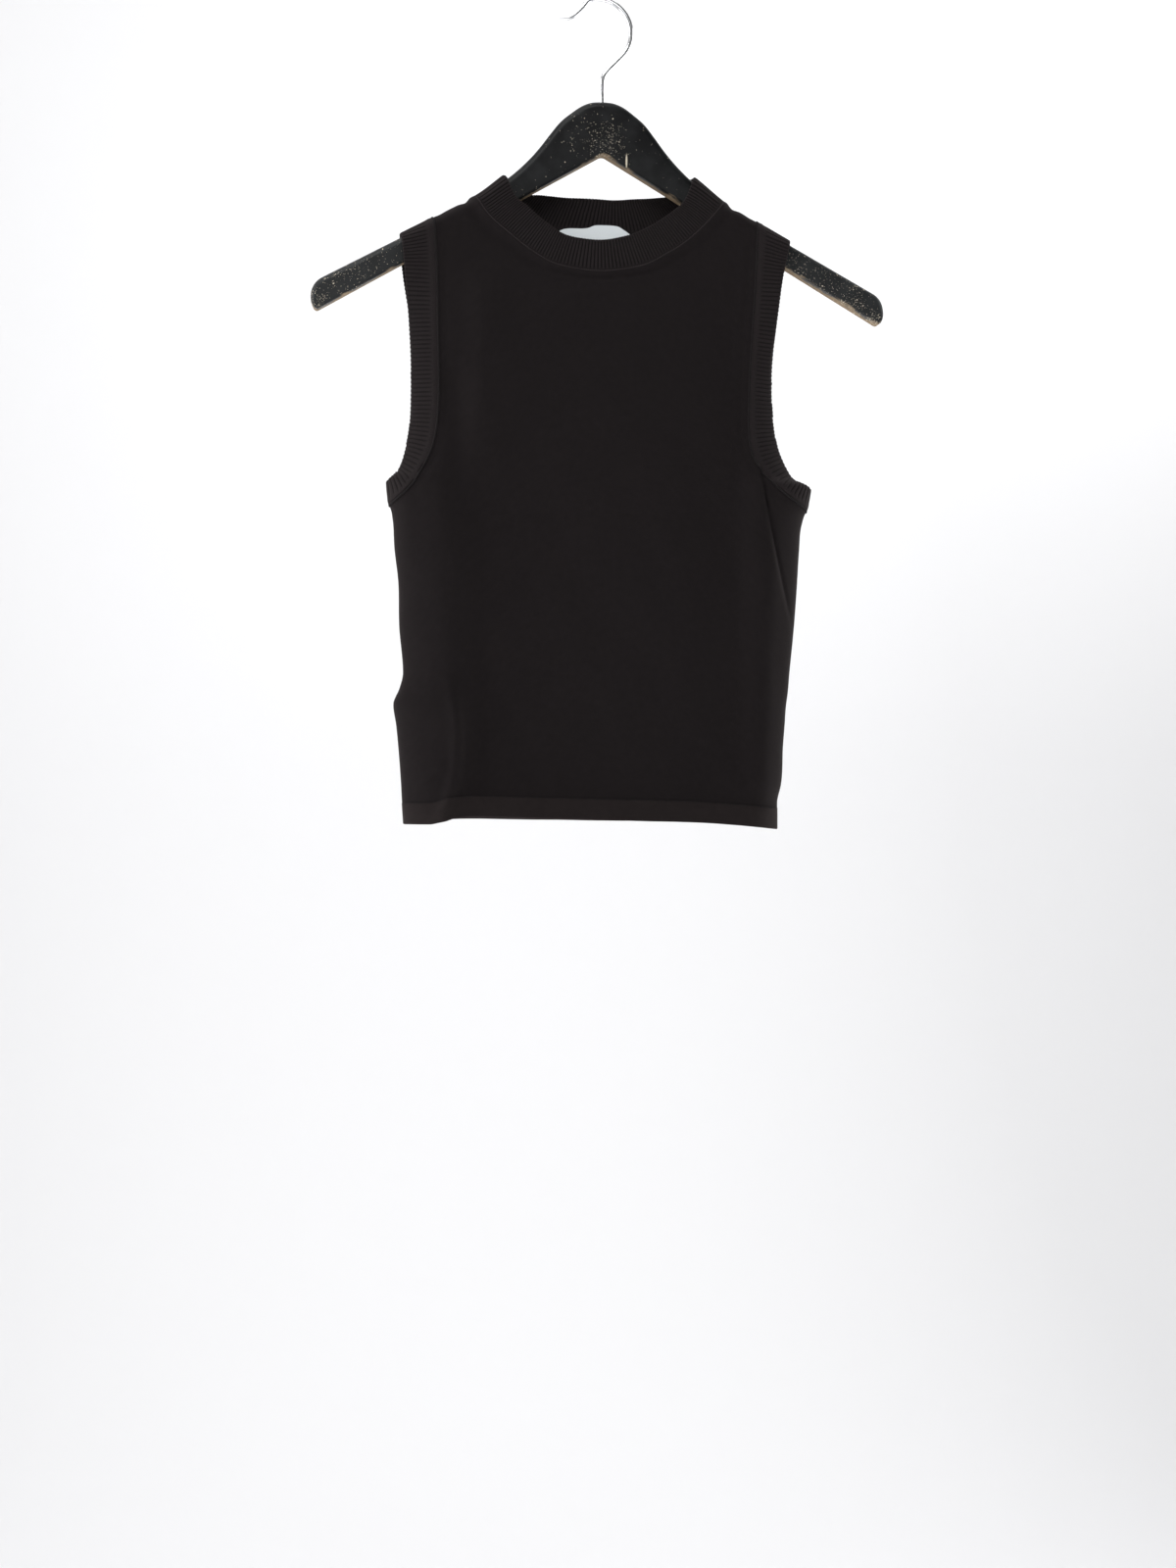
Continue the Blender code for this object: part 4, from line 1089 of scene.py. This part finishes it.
def geometry_tree(name, sizes):
    """A Geometry Nodes tree that takes a geometry, named sizes and a yarn, and what it is given."""
    tree = bpy.data.node_groups.new(name, "GeometryNodeTree")
    kinds = {"Geometry": "Geometry", **dict.fromkeys(sizes, "Float"), "Yarn": "Material"}
    for label, kind in kinds.items():
        tree.interface.new_socket(label, in_out="INPUT", socket_type="NodeSocket" + kind)
    tree.interface.new_socket("Geometry", in_out="OUTPUT", socket_type="NodeSocketGeometry")
    return tree, node(tree, "NodeGroupInput", {}).outputs


def end_tree(tree, made, yarn):
    """Gives out what was made as smooth mesh in that yarn."""
    soft = node(tree, "GeometryNodeSetShadeSmooth", {"Geometry": made}).outputs[0]
    real = node(tree, "GeometryNodeRealizeInstances", {"Geometry": soft}).outputs[0]
    dyed = node(tree, "GeometryNodeSetMaterial", {"Geometry": real, "Material": yarn}).outputs[0]
    node(tree, "NodeGroupOutput", {"Geometry": dyed})


def named(tree, attribute, kind="FLOAT"):
    """What a named attribute holds."""
    return node(tree, "GeometryNodeInputNamedAttribute", {"Name": attribute}, data_type=kind).outputs[0]


def stitch_row_tree():
    """Geometry Nodes that set leaning stitches at even steps along a line, on the cloth's outer side."""
    tree, given = geometry_tree("stitch_row", ("Spacing", "Length", "Width", "Height", "Lean"))
    line = node(tree, "GeometryNodeMeshToCurve", {"Mesh": given["Geometry"]}).outputs[0]
    steps = {"Curve": line, "Length": given["Spacing"]}
    even = node(tree, "GeometryNodeResampleCurve", steps, mode="LENGTH").outputs[0]
    outward = named(tree, "outward", "FLOAT_VECTOR")
    tangent = node(tree, "GeometryNodeInputTangent", {}).outputs[0]
    turn = {"Vector": tangent, "Axis": outward, "Angle": given["Lean"]}
    leaning = node(tree, "ShaderNodeVectorRotate", turn).outputs[0]
    turned = node(tree, "FunctionNodeAxesToRotation", {"Primary Axis": outward, "Secondary Axis": leaning},
                  primary_axis="Z", secondary_axis="X").outputs[0]
    sides = {"X": given["Length"], "Y": given["Width"], "Z": given["Height"]}
    size = node(tree, "ShaderNodeCombineXYZ", sides).outputs[0]
    ball = {"Segments": STITCH_SEGMENTS, "Rings": STITCH_RINGS, "Radius": 0.5}
    stitch = node(tree, "GeometryNodeMeshUVSphere", ball).outputs[0]
    laid = {"Points": even, "Instance": stitch, "Rotation": turned, "Scale": size}
    end_tree(tree, node(tree, "GeometryNodeInstanceOnPoints", laid).outputs[0], given["Yarn"])
    return tree


def set_inputs(modifier, values):
    """Sets a Geometry Nodes modifier's inputs, named as in its tree, by their identifiers."""
    for item in modifier.node_group.interface.items_tree:
        if item.in_out == "INPUT" and item.name in values:
            modifier[item.identifier] = values[item.name]


def add_stitches(name, points, outward, ring, stitch, lean, finish):
    """A row of stitches along points that lie on the cloth's surface."""
    count = len(points)
    edges = [(i, (i + 1) % count) for i in range(count if ring else count - 1)]
    mesh = bpy.data.meshes.new(name)
    mesh.from_pydata([tuple(p) for p in points], edges, [])
    away = mesh.attributes.new("outward", "FLOAT_VECTOR", "POINT")
    away.data.foreach_set("vector", np.ravel(outward))
    row = add_object(name, mesh)
    laid = row.modifiers.new("row", "NODES")
    laid.node_group = stitch_nodes
    set_inputs(laid, dict(zip(("Spacing", "Length", "Width", "Height"), stitch), Lean=lean, Yarn=finish))
    bake(row)
    return row


def yarn(name, dark, light):
    finish, tree, shader = new_finish(name)
    place = node(tree, "ShaderNodeTexCoord", {}).outputs["Object"]
    twist = noise(tree, place, YARN_TWIST_SCALE, 2)
    feed(tree, shader, {
        "Base Color": blend(tree, twist, dark, light),
        "Roughness": 0.85,
        "Specular IOR Level": 0.08,
        "Sheen Weight": 0.06,
        "Sheen Roughness": 0.45,
        "Normal": bump(tree, twist, 0.4, 0.0002),
    })
    return finish


stitch_nodes = stitch_row_tree()
# The hem's knit is lighter than the body's: painted light.
hem_jersey_painted_light = knit("black_brown_hem_painted_light", JERSEY_WALE, JERSEY_COURSE, LIT_HEM_DARK, LIT_HEM_LIGHT)
hem_yarn = yarn("black_brown_yarn", KNIT_DARK, KNIT_LIGHT)
for face, panel in (("front", front), ("back", back)):
    hem_middle, hem_normals = hem_grid(face)
    along = np.r_[0, np.cumsum(np.linalg.norm(np.diff(hem_middle[:, 0], axis=0), axis=1))]
    hem = add_strip(face + "_turned_hem", strip_shell(hem_middle, hem_normals, HEM), along, ring=False)
    face_outward(hem, sharp_degrees=60)
    hem.data.materials.append(hem_jersey_painted_light)
    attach(hem, "root")
    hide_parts(face + "_hem")
    outward = hem_normals[STITCHES_FROM_SIDE:-STITCHES_FROM_SIDE, -1]
    stitch_line = hem_middle[STITCHES_FROM_SIDE:-STITCHES_FROM_SIDE, -1] + outward * HEM / 2
    stitches = add_stitches(face + "_hem_stitches", stitch_line, outward, False, HEM_STITCH, STITCH_LEAN,
                            hem_yarn)
    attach(stitches, "root")


# Neckband. A strip of one-by-one rib, doubled over and linked to the neck edge in a ring: rounded
# ribs with narrow sunk lines between them, which fan out round the curve. The sunk lines are darkened
# with painted shade, and the linking stitches are coloured lighter as a painted highlight.

RIB = 0.0024
RIB_SAMPLES, ROUGH_SAMPLES = 8, 400
RIB_HEIGHT, RIB_ROUNDNESS, RIB_MIDDLE = 0.0005, 0.5, 0.6
RIB_COURSE = 0.0012
# How dark the painted shade in the neckband's sunk lines is.
NECK_RIB_PITCH, NECK_GROOVE_SHADE = 0.0027, 0.9
BAND_ROWS = 12
NECK_RIBS_END = (0.0004, 0.0014)
LINK_STITCH = (0.0014, 0.0021, 0.0015, 0.0010)
LINK_LEAN = math.radians(24)
LINK_AWAY, LINK_LIFT = 0.0008, 0.0011
# Painted highlight: the neck's linking stitches are coloured lighter, where light catches the ridge at the
# seam.
LINK_PAINTED_HIGHLIGHT = (0.0330, 0.0270, 0.0270, 1)


def rib_tree():
    """Geometry Nodes that lift a band's surface into ribs, by its rib number and relief attributes."""
    tree, given = geometry_tree("raise_ribs", ("Rib height", "Roundness"))
    wave = calc(tree, "COSINE", calc(tree, "MULTIPLY", named(tree, "rib_number"), 2 * math.pi))
    ridge = calc(tree, "POWER", calc(tree, "MULTIPLY_ADD", wave, 0.5, 0.5), given["Roundness"])
    lift = calc(tree, "MULTIPLY", calc(tree, "SUBTRACT", ridge, RIB_MIDDLE), given["Rib height"])
    lift = calc(tree, "MULTIPLY", lift, named(tree, "rib_relief"))
    normal = node(tree, "GeometryNodeInputNormal", {}).outputs[0]
    offset = node(tree, "ShaderNodeVectorMath", {0: normal, "Scale": lift}, operation="SCALE").outputs[0]
    moved = node(tree, "GeometryNodeSetPosition", {"Geometry": given["Geometry"], "Offset": offset})
    end_tree(tree, moved.outputs[0], given["Yarn"])
    return tree


def band_side(face, table, pitch, side, shift):
    """One face's half of a band: middle points, normals and how many ribs it has."""
    free, seam = edge_pair(table, np.linspace(0, 1, ROUGH_SAMPLES), shift)
    ribs = round(np.linalg.norm(np.diff((free + seam) / 2, axis=0), axis=1).sum() / pitch)
    free, seam = edge_pair(table, np.linspace(0, 1, ribs * RIB_SAMPLES + 1), shift)
    grid = free[:, None] + (seam - free)[:, None] * np.linspace(0, 1, BAND_ROWS)[None, :, None]
    if side:
        grid[-1] = [onto_side_seam(point, side) for point in grid[-1]]
    middle = cloth_point(face, grid[..., 0], grid[..., 1])
    middle[[0, -1], :, 1] = 0
    return middle, cloth_normal(face, grid[..., 0], grid[..., 1]), ribs


def add_band(name, front_table, back_table, pitch, side, ribs_end, roll, finish, link_yarn):
    """A doubled ring of rib round an opening, and the row of linking stitches along its seam."""
    front_half = band_side("front", front_table, pitch, side, 0)
    back_half = band_side("back", back_table, pitch, side, side)
    ribs = front_half[2] + back_half[2]
    middle = np.concatenate([front_half[0], back_half[0][-2:0:-1]])
    normals = np.concatenate([front_half[1], back_half[1][-2:0:-1]])
    number = np.linspace(0, ribs, len(middle) + 1)
    from_seam = np.linalg.norm(middle - middle[:, -1:], axis=2)
    rolled = np.sin(math.pi * np.clip(from_seam / ribs_end[1], 0, 1)) * roll
    sections = strip_shell(middle + normals * rolled[..., None], normals, RIB)
    band = add_strip(name, sections, number * pitch, ring=True)
    size = sections.shape[1]
    widths = np.r_[0, np.cumsum(np.linalg.norm(np.diff(sections, axis=1), axis=2).mean(axis=0))]
    relief = ramp(*ribs_end, np.minimum(widths, widths[-1] - widths))
    marks = {"rib_number": np.repeat(number[:-1], size), "rib_relief": np.tile(relief, len(middle))}
    for label, values in marks.items():
        attribute = band.data.attributes.new(label, "FLOAT", "POINT")
        attribute.data.foreach_set("value", values)
    face_outward(band, sharp_degrees=70)
    raised = band.modifiers.new("ribs", "NODES")
    raised.node_group = rib_nodes
    set_inputs(raised, {"Rib height": RIB_HEIGHT, "Roundness": RIB_ROUNDNESS, "Yarn": finish})
    bake(band)
    band.data.set_sharp_from_angle(angle=math.radians(80))
    onward = unit(middle[:, -1] - middle[:, -2])
    link_line = middle[:, -1] + onward * LINK_AWAY + normals[:, -1] * LINK_LIFT
    links = add_stitches(name + "_linking", link_line, normals[:, -1], True, LINK_STITCH, LINK_LEAN,
                         link_yarn)
    for piece in (band, links):
        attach(piece, "root")
    return band


rib_nodes = rib_tree()
neck_rib = knit("black_brown_neck_rib", NECK_RIB_PITCH, RIB_COURSE, KNIT_LIGHT, RIB_LIGHT, ribbed=True,
                groove_shade=NECK_GROOVE_SHADE)
# The neck's linking yarn carries a painted highlight.
neck_yarn_painted_highlight = yarn("linking_yarn_painted_highlight", RIB_LIGHT, LINK_PAINTED_HIGHLIGHT)
neckband = add_band("ribbed_neckband", NECK_FRONT, NECK_BACK, NECK_RIB_PITCH, 0, NECK_RIBS_END, 0.0, neck_rib,
                    neck_yarn_painted_highlight)
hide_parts("neckband")


# Armhole bands. Strips of the same rib, a little coarser, doubled and linked round each armhole
# with a smooth roll at the seam; at the underarm they turn sharply from front to back.

# How dark the painted shade in the armhole bands' sunk lines is.
ARMHOLE_RIB_PITCH, ARMHOLE_GROOVE_SHADE = 0.0031, 0.55
ARMHOLE_RIBS_END = (0.0042, 0.0058)
ARMHOLE_ROLL = 0.0004
armhole_rib = knit("black_brown_armhole_rib", ARMHOLE_RIB_PITCH, RIB_COURSE, KNIT_LIGHT, RIB_LIGHT,
                   ribbed=True, groove_shade=ARMHOLE_GROOVE_SHADE)
for side, word, table in ((1, "left", ARMHOLE_LEFT), (2, "right", ARMHOLE_RIGHT)):
    armband = add_band(f"ribbed_armband_{word}", table, table, ARMHOLE_RIB_PITCH, side, ARMHOLE_RIBS_END,
                       ARMHOLE_ROLL, armhole_rib, hem_yarn)
    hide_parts("armhole_band_" + word)


# Neck label. A bare piece of white satin ribbon, caught in the back neck seam, its upper edge
# slightly crooked, hanging just inside the back.

LABEL_WIDTH, LABEL_HEIGHT, LABEL_CENTRE_X = 0.056, 0.027, -0.0015
LABEL_THICKNESS = 0.0005
LABEL_AWAY = 0.0020
LABEL_TOP_DROP = 0.1712
LABEL_COLUMNS, LABEL_ROWS = 41, 15
LABEL_WAVE, LABEL_WAVE_LENGTH = 0.0006, 0.037
SATIN_SHADE, SATIN_WHITE = (0.59, 0.64, 0.66, 1), (0.72, 0.76, 0.78, 1)
SATIN_THREADS = 500
LABEL_TOP = np.array((
    # x, drop of the upper edge
    (-0.0300, 0.1757),
    (-0.0255, 0.1737),
    (-0.0070, 0.1722),
    (-0.0015, 0.1701),
    (0.0065, 0.1697),
    (0.0160, 0.1702),
    (0.0200, 0.1722),
    (0.0270, 0.1768),
))


def add_label():
    """The ribbon, a little clear of the back's inner side, its slow waves growing downwards."""
    across = LABEL_CENTRE_X + np.linspace(-0.5, 0.5, LABEL_COLUMNS) * LABEL_WIDTH
    down = np.linspace(0, 1, LABEL_ROWS)
    top = table_at(LABEL_TOP, 1, across)
    x, share = np.meshgrid(across, down)
    drop = top[None] + share * (LABEL_TOP_DROP + LABEL_HEIGHT - top[None])
    grid = np.stack([x, down_from_drop(x, drop)], axis=-1)
    points = cloth_point("back", grid[..., 0], grid[..., 1])
    wave = LABEL_WAVE * np.sin((x - LABEL_CENTRE_X) * 2 * math.pi / LABEL_WAVE_LENGTH)
    away = LABEL_AWAY + np.abs(wave * ramp(0, 1, down)[:, None])
    points -= cloth_normal("back", grid[..., 0], grid[..., 1]) * away[..., None]
    ribbon = add_surface("satin_label", points, grid)
    give_wall(ribbon, LABEL_THICKNESS)
    return ribbon


def satin():
    finish, tree, shader = new_finish("white_satin")
    cloth = node(tree, "ShaderNodeUVMap", {}, uv_map="cloth").outputs[0]
    weave = {"Vector": cloth, "Scale": SATIN_THREADS, "Distortion": 0.6}
    threads = node(tree, "ShaderNodeTexWave", weave, bands_direction="Y").outputs["Fac"]
    feed(tree, shader, {
        "Base Color": blend(tree, threads, SATIN_SHADE, SATIN_WHITE),
        "Roughness": 0.38,
        "Sheen Weight": 0.2,
        "Normal": bump(tree, threads, 0.2, 0.0001),
    })
    return finish


label = add_label()
label.data.materials.append(satin())
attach(label, "root")
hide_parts("neck_label")
